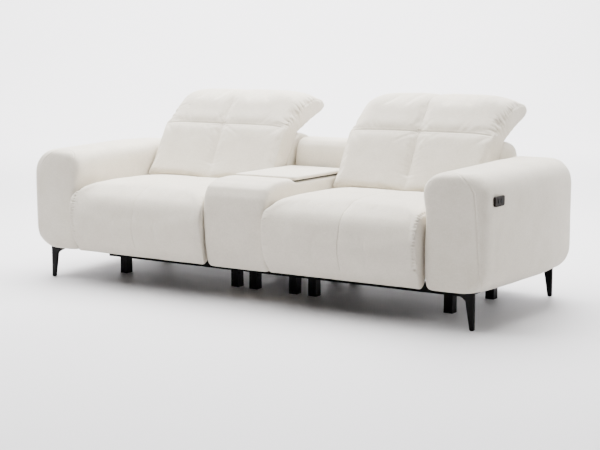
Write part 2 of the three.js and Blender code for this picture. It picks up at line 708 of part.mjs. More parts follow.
function carriage() {
  const outline = [
    [plateFootFrontY, carriageFootZ], [plateRearY, carriageFootZ], [plateRearY, reclineZ - earRadius],
    ...arc([reclineY, reclineZ], earRadius, 0, 180, cornerSteps),
    [earShoulderY, plateTopZ], [plateFrontY, plateTopZ], [plateFrontY, plateTopZ - plateNoseDrop],
    [plateNoseY, plateTopZ - plateNoseDrop],
  ];
  const pieces = [
    barX(crossTubeRadius, [-platePlaneX, platePlaneX], [frontTubeY, actuatorZ]),
    barX(crossTubeRadius, [-platePlaneX, platePlaneX], [rearTubeY, rearTubeZ]),
  ];
  for (const side of [-1, 1]) {
    pieces.push(plateX(outline, span(side * platePlaneX, sidePlateThick)));
    pieces.push(block(span(side * platePlaneX, glideWidth), [plateFootFrontY, plateRearY],
      [carriageFootZ, carriageFootZ + glideHeight]));
  }
  return cut(join(...pieces),
    barX(torqueTubeRadius + runningGap, [-platePlaneX - overrun, platePlaneX + overrun], [linkPivotY, linkPivotZ]),
    barX(reclinePinRadius + runningGap, [-platePlaneX - overrun, platePlaneX + overrun], [reclineY, reclineZ]));
}

function linkFrame() {
  const pieces = [barX(torqueTubeRadius, [-platePlaneX - sidePlateThick, platePlaneX + sidePlateThick],
    [linkPivotY, linkPivotZ])];
  for (const side of [-1, 1]) {
    pieces.push(flatBar([linkPivotY, linkPivotZ], [elbowY, elbowZ], linkHalfWidth, span(side * linkPlaneX, linkThick)));
    const inner = side * (couplerPlaneX - linkThick);
    const outer = side * linkPlaneX;
    pieces.push(barX(linkPinRadius, [Math.min(inner, outer), Math.max(inner, outer)], [elbowY, elbowZ]));
  }
  return join(...pieces);
}

function coupler(side) {
  const bar = flatBar([elbowY, elbowZ], [bracketPinY, bracketPinZ], linkHalfWidth, span(side * couplerPlaneX, linkThick));
  const reach = [side * couplerPlaneX - linkThick, side * couplerPlaneX + linkThick];
  return cut(bar, barX(linkPinRadius + runningGap, reach, [elbowY, elbowZ]),
    barX(linkPinRadius + runningGap, reach, [bracketPinY, bracketPinZ]));
}

// Footrest board with a bracket and pin for each coupler
const footBoardThick = 18;
const footBoardInset = 38;
const footBoardHalf = seatHalf - footBoardInset;
const footBoardRise = 28;
const footBoardDrop = 10;
const footBoardFootZ = underside + footBoardRise;
const footBoardTopZ = seatUnderZ - footBoardDrop;
const footBoardFrontY = padBackY - padGap + seated;
const footBoardBackY = footBoardFrontY + footBoardThick;

function footrestBoard() {
  const pieces = [block([-footBoardHalf, footBoardHalf], [footBoardFrontY, footBoardBackY],
    [footBoardFootZ, footBoardTopZ])];
  for (const side of [-1, 1]) {
    pieces.push(flatBar([footBoardFrontY + linkHalfWidth, bracketPinZ], [bracketPinY, bracketPinZ], linkHalfWidth,
      span(side * bracketPlaneX, linkThick)));
    const inner = side * bracketPlaneX;
    const outer = side * (couplerPlaneX + linkThick / 2);
    pieces.push(barX(linkPinRadius, [Math.min(inner, outer), Math.max(inner, outer)], [bracketPinY, bracketPinZ]));
  }
  return join(...pieces);
}

// Actuator: a motor and tube pinned to the rear rail, and a rod that pushes the carriage's front tube
const housingRadius = 22;
const housingFrontY = 342;
const housingRearInset = 18;
const housingRearY = actuatorPinY - housingRearInset;
const rodRadius = 10;
const rodEndGap = 12;
const rodEndInset = 146;
const rodEndY = housingRearY - rodEndInset;
const rodBoreEndY = rodEndY + rodEndGap;
const motorHalf = 34;
const motorLength = 92;
const motorRearY = housingRearY - housingRearInset;
const motorFrontY = motorRearY - motorLength;
const motorDrop = 68;
const motorFootZ = actuatorZ - motorDrop;
const lugHalf = 23.6;
const lugRadius = 20;
const eyeRadius = 22;
const eyeHalf = 14;

function actuator() {
  const body = join(
    barY(housingRadius, [housingFrontY, housingRearY], [0, actuatorZ]),
    block([-motorHalf, motorHalf], [motorFrontY, motorRearY], [motorFootZ, actuatorZ]),
    flatBar([housingRearY - lugRadius, actuatorZ], [actuatorPinY, actuatorZ], lugRadius, [-lugHalf, lugHalf]),
    barX(actuatorPinRadius, [-lugHalf - cheekThick, lugHalf + cheekThick], [actuatorPinY, actuatorZ]),
  );
  return cut(body, barY(rodRadius + runningGap, [housingFrontY - overrun, rodBoreEndY], [0, actuatorZ]));
}

function actuatorRod() {
  const eye = barX(eyeRadius, [-eyeHalf, eyeHalf], [frontTubeY, actuatorZ]);
  const rod = barY(rodRadius, [frontTubeY, rodEndY], [0, actuatorZ]);
  return cut(join(eye, rod), barX(crossTubeRadius + seated, [-eyeHalf - overrun, eyeHalf + overrun],
    [frontTubeY, actuatorZ]));
}

// Backrest, laid out along its leaning front face: s goes up the face and t goes behind it
const backFootDrop = 4;
const backFootZ = seatHeight - backFootDrop;
const backLean = 26.4;
const backLength = 279;
const backThick = 94;
const backBulge = 8;
const leanAngle = THREE.MathUtils.degToRad(backLean);

function onBack(s, t) {
  return [backFootY + s * Math.sin(leanAngle) + t * Math.cos(leanAngle),
    backFootZ + s * Math.cos(leanAngle) - t * Math.sin(leanAngle)];
}

// Headrest hinge: a round knuckle on the headrest turns in a cup in the back cushion
const headHingeS = 297;
const knuckleR = 46;
const knuckleGap = 0.8;
const [headHingeY, headHingeZ] = onBack(headHingeS, knuckleR);
const headHinge = [headHingeY, headHingeZ];
const cupFrontAngle = 196;
const cupRearAngle = 302;
const cupSteps = 8;
const backFaceShares = [[0, 0.25], [0.1, 0], [0.3, 1], [0.55, 1], [0.8, 0.6]];
const backSideRound = 40;
const backCrown = 14;
const backChannelDepth = 8;
const backChannelHalf = 30;
const hingeArmInset = 106;
const hingeLeafStep = 7;
const hingeArmX = seatHalf - hingeArmInset;
const hingeLeafX = hingeArmX - hingeLeafStep;
const hingeArmThick = 5;
const hingeArmRadius = 13;
const hingeSlotHalf = 8;
const headPinRadius = 4;

const backBoardGap = 1;
const backFrameThick = 18;
const backFrameInset = 43;
const backFrameHalf = seatHalf - backFrameInset;
const frameBoardTopS = 256;
const leafRootS = 190;
const leafBendS = 226;
const leafT = backThick + backBoardGap + backFrameThick / 2;
const leafRoot = onBack(leafRootS, leafT);
const leafBend = onBack(leafBendS, leafT);

function backCushion() {
  const cup = arc(headHinge, knuckleR + knuckleGap, cupFrontAngle, cupRearAngle, cupSteps);
  const lip = backLength - padGap * 6;
  const face = [
    [...onBack(0, backThick / 8), 1, 1],
    ...backFaceShares.map(([s, bulge]) => [...onBack(s * backLength, -bulge * backBulge), 1, 1]),
    [...onBack(lip, 0), 1, 1],
  ];
  const outline = [
    ...face, ...cup.map(([y, z]) => [y, z, 0, 0.2]),
    [...onBack(backLength - knuckleR / 4, backThick), 0, 0.2], [...onBack(backLength / 2, backThick), 0, 0],
    [...onBack(0, backThick), 0, 0.2],
  ];
  const cushion = cushionAcross({ outline, half: cushionHalf, sideRound: backSideRound, crown: backCrown,
    channelDepth: backChannelDepth, channelHalf: backChannelHalf });
  return cut(cushion, ...[-1, 1].map((side) => flatBar(headHinge, leafBend, hingeArmRadius,
    span(side * hingeLeafX, hingeSlotHalf))));
}

// Back frame: a board behind the cushion, two ribs that carry the rear shell, and the headrest hinge leaves
const ribThick = 20;
const shellWall = 26;
const shellFootDrop = 38;
const shellTopRise = 209;
const shellFootZ = seatHeight - shellFootDrop;
const shellTopZ = seatHeight + shellTopRise;
const ribFootRadius = 20;
const ribFootFrom = 180;
const ribFootTo = 340;
const shellSideRound = 16;
const reclinePinReach = 25;
const reclinePinInner = backFrameHalf - reclinePinReach;
// Rear shell outline from its top front edge round to its rear foot, as shares of its height and of its depth
const shellTopReach = 226;
const shellTopFrontY = backFootY + shellTopReach;
const shellTopShares = [[0, 0.975], [0.15, 1], [0.4, 0.99], [0.68, 0.94], [0.88, 0.86], [0.975, 0.75], [1, 0.6], [1, 0]];

function shellInnerTop() {
  const [rear, top] = [shellRearY - shellWall, shellTopZ - shellWall];
  return [[rear, shellFootZ + shellWall / 2], [rear, shellTopZ - shellWall * 3],
    [rear - shellWall * 1.2, top - shellWall / 1.6], [rear - shellWall * 3.2, top - shellWall / 8],
    [shellTopFrontY, top]];
}

function backShell() {
  const t = backThick + backBoardGap + facing;
  const foot = onBack((shellFootZ - backFootZ + t * Math.sin(leanAngle)) / Math.cos(leanAngle), t);
  const head = onBack(frameBoardTopS, t);
  const outline = [
    [...foot, 0, 0.3], [...head, 0, 0.3],
    ...placed(shellTopShares, [shellTopFrontY, shellRearY], [shellFootZ, shellTopZ], 0, 1),
  ];
  const outer = cushionAcross({ outline, half: cushionHalf, sideRound: shellSideRound, channelHalf: cushionHalf / 4 });
  const inner = [...shellInnerTop(), [backFootY, shellTopZ - shellWall], [backFootY, shellFootZ - overrun],
    [shellRearY - shellWall, shellFootZ - overrun]];
  return cut(outer, plateX(inner, [-cushionHalf + shellWall, cushionHalf - shellWall]));
}

function backFrame() {
  const t0 = backThick + backBoardGap;
  const t1 = t0 + backFrameThick;
  const board = plateX([onBack(0, t0), onBack(frameBoardTopS, t0), onBack(frameBoardTopS - facing, t1), onBack(0, t1)],
    [-backFrameHalf, backFrameHalf]);
  const rim = shellInnerTop().map(([y, z]) => [y - seated, z - seated]);
  const ribOutline = [
    onBack(0, t0 + facing), ...arc([reclineY, reclineZ], ribFootRadius, ribFootFrom, ribFootTo, cornerSteps),
    [reclineY + ribFootRadius * 2, shellFootZ + shellWall / 2], ...rim, onBack(frameBoardTopS - facing * 3, t1 - facing),
  ];
  const pieces = [board];
  for (const side of [-1, 1]) {
    pieces.push(plateX(ribOutline, span(side * (backFrameHalf - ribThick / 2), ribThick)));
    const [pin0, pin1] = [side * reclinePinInner, side * (platePlaneX + sidePlateThick)];
    pieces.push(barX(reclinePinRadius, [Math.min(pin0, pin1), Math.max(pin0, pin1)], [reclineY, reclineZ]));
    const leafRange = span(side * hingeLeafX, hingeArmThick);
    pieces.push(flatBar(leafRoot, leafBend, hingeArmRadius - facing * 2, leafRange));
    pieces.push(flatBar(leafBend, headHinge, hingeArmRadius - facing * 2, leafRange));
  }
  return cut(join(...pieces), barX(headPinRadius + runningGap, [-backFrameHalf - overrun, backFrameHalf + overrun],
    headHinge));
}

// Headrest: its outline as shares of its reach behind the hinge and of its rise above it,
// each with how far the sides draw in there
const headReach = 310;
const headRise = 156;
const headShares = [
  [-0.1, 0.28, 0.6], [-0.045, 0.42, 0.8], [0.03, 0.57, 0.9], [0.13, 0.78, 1], [0.22, 0.93, 1], [0.32, 0.99, 1],
  [0.45, 1, 1], [0.61, 0.93, 0.9], [0.77, 0.82, 0.7], [0.9, 0.71, 0.5], [0.975, 0.61, 0.4], [1, 0.52, 0.4],
  [0.968, 0.43, 0.3], [0.86, 0.33, 0.3], [0.68, 0.19, 0.3], [0.5, 0.06, 0.3], [0.33, -0.08, 0.2], [0.245, -0.165, 0.2],
];
const headSideRound = 48;
const headCrown = 10;
const headChannelDepth = 7;
const headKnuckleRear = -40;
const headKnuckleFront = -212;
const headKnuckleSteps = 9;
const headBoardInset = 83;
const headBoardHalf = seatHalf - headBoardInset;
const headBoardThick = 15;
const headBoardShares = [[0.35, -0.075], [0.81, 0.285]];

const headPoint = ([ys, zs]) => [headHingeY + ys * headReach, headHingeZ + zs * headRise];

function headBoardOutline(grow) {
  const [[ya, za], [yb, zb]] = headBoardShares.map(headPoint);
  const length = Math.hypot(yb - ya, zb - za);
  const [uy, uz] = [(yb - ya) / length, (zb - za) / length];
  const at = (along, up) => [ya + uy * along - uz * up, za + uz * along + uy * up];
  const below = grow > 0 ? -overrun : 0;
  return [at(-grow, below), at(length + grow, below), at(length + grow, headBoardThick + grow),
    at(-grow, headBoardThick + grow)];
}

function headrestCushion() {
  const outline = [
    ...headShares.map(([ys, zs, edge]) => [...headPoint([ys, zs]), zs > 0.5 ? 1 : 0, edge]),
    ...arc(headHinge, knuckleR - knuckleGap, headKnuckleRear, headKnuckleFront, headKnuckleSteps)
      .map(([y, z]) => [y, z, 0, 0.4]),
  ];
  const cushion = cushionAcross({ outline, half: cushionHalf, sideRound: headSideRound, crown: headCrown,
    channelDepth: headChannelDepth, channelHalf: backChannelHalf });
  const [armEndY, armEndZ] = headPoint(headBoardShares[0]);
  const slots = [-1, 1].map((side) => plateX([
    [headHingeY - knuckleR - overrun, headHingeZ - knuckleR - overrun], [armEndY + overrun, armEndZ - overrun],
    [armEndY + overrun, armEndZ + overrun], [headHingeY, headHingeZ + hingeArmRadius * 2],
    [headHingeY - hingeArmRadius * 2, headHingeZ + hingeArmRadius],
  ], span(side * (hingeArmX + hingeLeafX) / 2, hingeSlotHalf * 2)));
  return cut(cushion, plateX(headBoardOutline(seated), [-headBoardHalf - seated, headBoardHalf + seated]), ...slots);
}

function headrestBoard() {
  const [armEndY, armEndZ] = headPoint(headBoardShares[0]);
  const pieces = [plateX(headBoardOutline(0), [-headBoardHalf, headBoardHalf])];
  for (const side of [-1, 1]) {
    pieces.push(flatBar(headHinge, [armEndY + headBoardThick, armEndZ + headBoardThick / 2], hingeArmRadius - facing * 2,
      span(side * hingeArmX, hingeArmThick)));
    const [pin0, pin1] = [side * (hingeLeafX - hingeArmThick / 2), side * hingeArmX];
    pieces.push(barX(headPinRadius, [Math.min(pin0, pin1), Math.max(pin0, pin1)], headHinge));
  }
  return join(...pieces);
}

// Fixed lower rear panel behind each seat
const rearPanelThick = 11.7;
const rearPanelGap = 22;
const rearPanelFootZ = railTopZ + facing;
const rearPanelTopZ = shellFootZ - rearPanelGap;

for (const [sideName, side] of [['left', -1], ['right', 1]]) {
  const place = (name, geometry, finish) => {
    add(`${sideName}_${name}`, geometry, finish).position.x = side * seatCentreX;
  };
  const rail = (railSide) => block(span(railSide * side * railPlaneX, slideRailWidth),
    [slideRailFrontY, shellRearY - rearPanelThick - seated], [railTopZ + seated, slideRailTopZ]);
  place('outer_slide_rail', rail(1), 'blackSteel');
  place('inner_slide_rail', rail(-1), 'blackSteel');
  place('rear_panel', block([-cushionHalf, cushionHalf], [shellRearY - rearPanelThick, shellRearY],
    [rearPanelFootZ, rearPanelTopZ]), 'fabric');
  place('actuator', actuator(), 'blackPlastic');
  place('actuator_rod', actuatorRod(), 'zincSteel');
  place('seat_carriage', carriage(), 'blackSteel');
  place('seat_deck', block([-seatHalf + slideRailWidth, seatHalf - slideRailWidth], [plateFrontY - linkHalfWidth, earShoulderY],
    [seatUnderZ - deckThick - seated, seatUnderZ - seated]), 'plywood');
  place('seat_cushion', seatCushion(), 'fabric');
  place('footrest_board', footrestBoard(), 'plywood');
  place('footrest_pad', footrestPad(), 'fabricFront');
  place('footrest_link_frame', linkFrame(), 'zincSteel');
  place('footrest_outer_coupler', coupler(side), 'zincSteel');
  place('footrest_inner_coupler', coupler(-side), 'zincSteel');
  place('back_frame', backFrame(), 'plywood');
  place('back_shell', backShell(), 'fabric');
  place('back_cushion', backCushion(), 'fabric');
  place('headrest_board', headrestBoard(), 'plywood');
  place('headrest_cushion', headrestCushion(), 'fabric');
}

// The origin is the middle of the footprint: from the seat fronts' bulge to the headrests' rear
const headTipY = headHingeY + headReach;
sofa.position.y = (frontBulge - headTipY) / 2;

export default sofa;
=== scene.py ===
# %% [markdown]
# # A reclining sofa with a lidded console
# The frame holds every rigid part of the sofa, already in place and in metres. This notebook dresses it:
# the padded covers are made here as soft forms, and every bare part gets its finish. The frame's own objects
# are never moved, so a cover that sits where its solid sits will follow the recliner's joints.

# %% Load the frame
import math
import bpy
import bmesh
import numpy as np
from mathutils import Matrix, Vector, noise
from mathutils.kdtree import KDTree
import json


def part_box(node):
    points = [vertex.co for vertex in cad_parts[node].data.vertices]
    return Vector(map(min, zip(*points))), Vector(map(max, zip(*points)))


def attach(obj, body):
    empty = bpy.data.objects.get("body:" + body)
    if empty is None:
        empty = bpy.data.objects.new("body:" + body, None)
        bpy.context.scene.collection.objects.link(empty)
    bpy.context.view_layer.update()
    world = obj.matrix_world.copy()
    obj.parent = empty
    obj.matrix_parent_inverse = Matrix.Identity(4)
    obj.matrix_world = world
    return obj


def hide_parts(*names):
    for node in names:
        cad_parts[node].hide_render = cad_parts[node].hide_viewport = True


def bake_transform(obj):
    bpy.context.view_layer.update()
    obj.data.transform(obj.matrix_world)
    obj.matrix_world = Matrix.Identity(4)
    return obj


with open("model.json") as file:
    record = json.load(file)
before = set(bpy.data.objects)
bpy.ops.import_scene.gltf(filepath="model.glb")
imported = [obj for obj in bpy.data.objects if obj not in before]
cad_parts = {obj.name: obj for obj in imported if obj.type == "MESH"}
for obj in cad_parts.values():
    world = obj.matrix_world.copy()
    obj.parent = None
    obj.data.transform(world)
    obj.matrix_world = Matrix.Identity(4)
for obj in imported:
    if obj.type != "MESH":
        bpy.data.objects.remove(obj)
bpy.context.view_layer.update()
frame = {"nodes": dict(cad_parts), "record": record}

MM = 0.001

# %% [markdown]
# Sizes are easiest to think about in millimetres from the plane of the arm fronts, because that is the plane
# a tape measure would start from. One helper turns such a place into the frame's metres.

# %% Where things are
# The arms' fronts are domed, and stand this far proud of their plane
ARM_FRONT_PROUD = 12
ARM_FRONT_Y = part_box("right_arm_cover")[0][1] + ARM_FRONT_PROUD * MM
low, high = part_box("right_seat_cushion")
SEAT_X = (low[0] + high[0]) / 2
SEAT_HALF = (high[0] - low[0]) / 2
# The same two in millimetres
seat_x = SEAT_X / MM
seat_half = SEAT_HALF / MM
SIDES = {"left": -1, "right": 1}


def spot(x, y, z):
    """A place in metres from millimetres, with y counted from the plane of the arm fronts."""
    return Vector((x * MM, ARM_FRONT_Y + y * MM, z * MM))


print(f"seat centre x {SEAT_X:.3f} m, half width {SEAT_HALF:.3f} m, arm front plane y {ARM_FRONT_Y:.4f} m")

# %% [markdown]
# ## Camera, floor and light
# The camera stands to the right, a bit above the seats and well back, with a short telephoto lens. From there
# the near arm doesn't swell beside the far one, as it would through a wider lens from closer by.

# %% Camera
VIEW_TURN = 32.5
LOOK_DOWN = 8.1
camera_data = bpy.data.cameras.new("camera")
camera_data.sensor_width = 36
camera_data.lens = 75.57
camera = bpy.data.objects.new("camera", camera_data)
camera.location = spot(3091.4, -4345.4, 1092.8)
camera.rotation_euler = (math.radians(90 - LOOK_DOWN), 0, math.radians(VIEW_TURN))
bpy.context.scene.collection.objects.link(camera)
bpy.context.scene.camera = camera
print("camera at", tuple(round(c, 3) for c in camera.location))

# %% [markdown]
# The floor is a seamless paper sweep, as in a studio: flat under the sofa, then curving up behind it, square to
# the camera. It starts as one long grid, and the part of each row past the flat is wound round the bend.

# %% Paper sweep
SWEEP_HALF = 26
SWEEP_FLAT = 9
SWEEP_BEND = 5


def link(obj):
    bpy.context.scene.collection.objects.link(obj)
    return obj


def new_object(name, bm):
    """Puts a bmesh into a new object at the origin."""
    mesh = bpy.data.meshes.new(name)
    bm.to_mesh(mesh)
    bm.free()
    return link(bpy.data.objects.new(name, mesh))


sweep_bm = bmesh.new()
bmesh.ops.create_grid(sweep_bm, x_segments=1, y_segments=160, size=SWEEP_HALF)
for vert in sweep_bm.verts:
    past = vert.co.y - SWEEP_FLAT
    if past > 0:
        turn = min(past / SWEEP_BEND, math.pi / 2)
        vert.co.y = SWEEP_FLAT + SWEEP_BEND * math.sin(turn)
        vert.co.z = SWEEP_BEND * (1 - math.cos(turn)) + max(0, past - SWEEP_BEND * math.pi / 2)
bmesh.ops.transform(sweep_bm, matrix=Matrix.Rotation(math.radians(VIEW_TURN), 4, "Z"), verts=sweep_bm.verts)
for face in sweep_bm.faces:
    face.smooth = True
floor = new_object("paper_sweep", sweep_bm)
print("paper sweep:", len(floor.data.polygons), "strips")

# %% [markdown]
# A pale sofa is lit by one huge soft source above and a faint white room, so tops read almost white and upright
# faces a little greyer. A second panel shapes the long side, a third lifts the fronts, and one more lights only
# the sweep behind. A wide area light gives the soft edge that each shadow needs.

# %% Lights
ROOM_GLOW = 0.16
world = bpy.data.worlds.new("white_room")
bpy.context.scene.world = world
world.use_nodes = True
world.node_tree.nodes["Background"].inputs["Color"].default_value = (1.0, 1.0, 1.0, 1)
world.node_tree.nodes["Background"].inputs["Strength"].default_value = ROOM_GLOW


def softbox(name, place, aim, size, radiance):
    """A soft panel of light at a place, turned to face aim."""
    light = bpy.data.lights.new(name, "AREA")
    light.shape = "RECTANGLE"
    light.size, light.size_y = size
    light.energy = radiance * math.pi * size[0] * size[1]
    lamp = link(bpy.data.objects.new(name, light))
    lamp.location = place
    lamp.rotation_euler = (Vector(aim) - Vector(place)).to_track_quat("-Z", "Y").to_euler()


softbox("overhead_softbox", (-0.6, 1.0, 3.8), (0, 0.3, 0.3), (5.4, 4.2), 14.5)
softbox("right_softbox", (5.5, 1.2, 2.6), (0.6, 0, 0.4), (3.0, 2.4), 6.5)
softbox("front_softbox", (-2.4, -2.6, 4.4), (-0.4, 0.2, 0.7), (2.4, 1.6), 9.0)
softbox("sweep_light", (-3.8, 6.0, 7.5), (-7.0, 11.0, 1.0), (16, 6), 20.0)

# %% [markdown]
# ## Finishes
# Each finish is a small network of nodes. Writing shader maths as plain Python expressions keeps it readable:
# a thin wrapper round a socket adds a Math node whenever two values are added, subtracted or multiplied.

# %% A wrapper for shader maths
class Value:
    """A node's output that can be used in sums."""

    def __init__(self, finish, socket):
        self.finish, self.socket = finish, socket

    def math(self, operation, other, swapped=False):
        pair = (other, self) if swapped else (self, other)
        return self.finish.node("ShaderNodeMath", {"operation": operation}, {0: pair[0], 1: pair[1]})

    def __add__(self, other):
        return self.math("ADD", other)

    __radd__ = __add__

    def __sub__(self, other):
        return self.math("SUBTRACT", other)

    def __rsub__(self, other):
        return self.math("SUBTRACT", other, swapped=True)

    def __mul__(self, other):
        return self.math("MULTIPLY", other)

    __rmul__ = __mul__


print("values can be added, subtracted and multiplied")

# %% [markdown]
# A finish is one Principled shader. What is the same all over is set on the shader's own sockets; what varies,
# such as the colour of a grain, is fed through nodes. They all read the object's own coordinates, so a pattern
# stays put on its piece when a joint moves it.

# %% A maker of finishes
class Finish:
    """One material: a Principled shader and the nodes that feed it."""

    def __init__(self, name, **shader):
        self.material = bpy.data.materials.new(name)
        self.material.use_nodes = True
        self.tree = self.material.node_tree
        self.shader = self.tree.nodes["Principled BSDF"]
        for socket, value in shader.items():
            self.shader.inputs[socket.replace("_", " ")].default_value = value
        self.place = self.node("ShaderNodeTexCoord", {}, {}, "Object")

    def node(self, kind, settings, sockets, output=0):
        """Adds any node: its settings first, then the numbers and links of its sockets."""
        made = self.tree.nodes.new(kind)
        for setting, value in settings.items():
            setattr(made, setting, value)
        for name, value in sockets.items():
            if isinstance(value, Value):
                self.tree.links.new(value.socket, made.inputs[name])
            else:
                made.inputs[name].default_value = value
        return Value(self, made.outputs[output])

    def feed(self, name, value):
        self.tree.links.new(value.socket, self.shader.inputs[name])

    def noise(self, size, detail=2.0, roughness=0.5, stretch=(1, 1, 1)):
        """Cloudy noise whose blobs are about size metres across."""
        scaled = self.node("ShaderNodeMapping", {}, {"Vector": self.place, "Scale": stretch})
        return self.node("ShaderNodeTexNoise", {}, {"Vector": scaled, "Scale": 1 / size, "Detail": detail,
                                                    "Roughness": roughness})

    def shade(self, amount, dark, light):
        """A colour between dark and light, as amount goes from 0 to 1."""
        ends = {0: amount, 6: (*dark, 1), 7: (*light, 1)}
        return self.node("ShaderNodeMix", {"data_type": "RGBA"}, ends, 2)

    def bump(self, height, distance, strength=1.0):
        """Relief whose full height is distance metres."""
        self.feed("Normal", self.node("ShaderNodeBump", {}, {"Height": height, "Distance": distance,
                                                             "Strength": strength}))


print("finish maker ready")

# %% [markdown]
# The cover is an off-white chenille: soft, matt, with a short nap. Close up it is a tight weave of fat yarns;
# from a step back the nap lies in faint clouds and streaks, which keep a pale cloth from looking like plaster.
# So the height mixes yarn-sized streaks in two directions, and the colour follows them a little.

# %% Woven cover
YARN_SIZE = 0.0045
YARNS_PER_METRE = 420.0
NAP_SIZE = 0.09


def woven_cover(name, dark, light):
    cloth = Finish(name, Roughness=0.92, Sheen_Weight=0.25, Sheen_Roughness=0.5, Specular_IOR_Level=0.2)
    warp = cloth.noise(YARN_SIZE, 2, 0.6, (1, 1, 0.35))
    weft = cloth.noise(YARN_SIZE, 2, 0.6, (0.35, 0.35, 1))
    yarn = cloth.node("ShaderNodeTexVoronoi", {"feature": "F1"},
                      {"Vector": cloth.place, "Scale": YARNS_PER_METRE})
    nap = cloth.noise(NAP_SIZE, 4, 0.55)
    weave = warp * 0.5 + weft * 0.5
    height = weave * 0.8 + (1 - yarn) * 0.35
    tone = (weave - 0.5) * 1.1 + (nap - 0.5) * 0.7 + 0.5
    cloth.feed("Base Color", cloth.shade(tone, dark, light))
    cloth.bump(height, 0.0012, 0.55)
    return cloth.material


cover = woven_cover("cover_weave", (0.600, 0.545, 0.450), (0.800, 0.745, 0.650))
print("cover weave made")

# %% [markdown]
# The feet and rails are steel with a satin black powder coat, which has a very fine orange peel. The hidden
# slides are zinc plated, which shows soft clouds where the plating took unevenly.

# %% Metal finishes
def powder_coat():
    coat = Finish("satin_black_coat", Roughness=0.5, Specular_IOR_Level=0.1)
    grain = coat.noise(0.0015, 3, 0.6)
    coat.feed("Base Color", coat.shade(grain, (0.0015, 0.0015, 0.0015), (0.003, 0.003, 0.003)))
    coat.feed("Roughness", grain * 0.2 + 0.4)
    coat.bump(grain, 0.0002, 0.4)
    return coat.material


def zinc_plate():
    zinc = Finish("bright_zinc", Metallic=1.0, Roughness=0.35)
    cloud = zinc.noise(0.02, 4, 0.6)
    zinc.feed("Base Color", zinc.shade(cloud, (0.42, 0.43, 0.45), (0.62, 0.63, 0.64)))
    zinc.feed("Roughness", cloud * 0.25 + 0.25)
    return zinc.material


black_coat, bright_zinc = powder_coat(), zinc_plate()
print("metals:", black_coat.name, "and", bright_zinc.name)

# %% [markdown]
# The boards are plywood, bare inside the covers and near black where nothing hides their edges; the near black
# is painted shade, so the gaps and undersides where they show read dark. The grain is noise stretched along X.
# The tub, motors, plates and buttons are moulded plastic with a fine spark texture.

# %% Board and plastic finishes
GRAIN_SIZE = 0.012
GRAIN_STRETCH = (0.12, 1, 1)


def bare_plywood():
    wood = Finish("bare_plywood", Roughness=0.7)
    grain = wood.noise(GRAIN_SIZE, 5, 0.6, GRAIN_STRETCH)
    figure = wood.noise(0.05, 3, 0.5, (0.2, 1, 1))
    wood.feed("Base Color", wood.shade(grain * 0.6 + figure * 0.4, (0.36, 0.22, 0.11), (0.62, 0.44, 0.26)))
    wood.bump(grain, 0.0004, 0.5)
    return wood.material


# A near-black plywood: painted shade for the gaps and undersides where boards show beside the covers
def shade_black_plywood():
    wood = Finish("shade_black_plywood", Roughness=0.75, Specular_IOR_Level=0.2)
    grain = wood.noise(GRAIN_SIZE, 5, 0.6, GRAIN_STRETCH)
    wood.feed("Base Color", wood.shade(grain, (0.006, 0.005, 0.004), (0.016, 0.013, 0.011)))
    wood.bump(grain, 0.0004, 0.5)
    return wood.material


def moulded_plastic(name, dark, light):
    plastic = Finish(name, Roughness=0.5, Specular_IOR_Level=0.12)
    spark = plastic.noise(0.0008, 2, 0.5)
    plastic.feed("Base Color", plastic.shade(spark, dark, light))
    plastic.bump(spark, 0.0001, 0.5)
    return plastic.material


FINISHES = {
    "cover_fabric": cover,
    "front_fabric": cover,
    "black_steel": black_coat,
    "zinc_steel": bright_zinc,
    "plywood": bare_plywood(),
    "black_plastic": moulded_plastic("black_plastic", (0.004, 0.004, 0.004), (0.008, 0.008, 0.008)),
    "bronze_plastic": moulded_plastic("bronze_plastic", (0.008, 0.005, 0.003), (0.014, 0.009, 0.006)),
}
shade_black = shade_black_plywood()
print("finishes:", sorted(FINISHES), "and", shade_black.name)

# %% [markdown]
# Each of the frame's nodes names the finish it wants, so one loop gives them all out. The boards whose edges or
# undersides can be seen beside the covers take the near-black finish instead, as painted shade that darkens
# those gaps and undersides.

# %% Give out the finishes
SIDE_BOARDS = ("arm_frame", "back_frame", "seat_deck", "footrest_board")
# These boards get the near-black painted shade
SHADE_BLACK_BOARDS = {"console_base_board", "console_lid_board"}
SHADE_BLACK_BOARDS |= {f"{side_name}_{board}" for side_name in SIDES for board in SIDE_BOARDS}
for part in frame["record"]["subparts"]:
    node = frame["nodes"][part["node"]]
    node.data.materials.clear()
    node.data.materials.append(shade_black if part["node"] in SHADE_BLACK_BOARDS else FINISHES[part["material_slot"]])

sheet = Finish("pale_floor", Roughness=0.6)
sheet.feed("Base Color", sheet.shade(sheet.noise(2.0), (0.70, 0.69, 0.71), (0.74, 0.73, 0.74)))
floor.data.materials.append(sheet.material)
print(len(SHADE_BLACK_BOARDS), "boards are stained")

# %% [markdown]
# ## Padded forms
# A cushion starts as a cage: its side view, pulled out across its width in a few slices, each slice drawn in
# near the ends so the sides are round. The side view is an outline of points (y, z, depth, reach). Depth is how
# far the end's rounding draws a point in, and reach how far from the end that begins. A point with no depth
# lies on a board, so nothing moves it.

# %% Outlines and slices
LOOSE_DEPTH = 8
END_SLICES = (0, 3, 9, 20, 38, 65, 100, 135, 240)
CROWN_DEPTH = 40
SLACK_REACH = 30


def round_in(distance, depth, reach):
    """How far a rounded end is drawn in at a distance from it: depth at the end, nothing past reach."""
    t = min(1.0, max(0.0, 1 - distance / reach))
    return depth * (1 - math.sqrt(1 - t * t))


def looseness(point):
    """0 for a point that lies on a board, up to 1 for one that is free to move."""
    return min(1.0, abs(point[2]) / LOOSE_DEPTH)


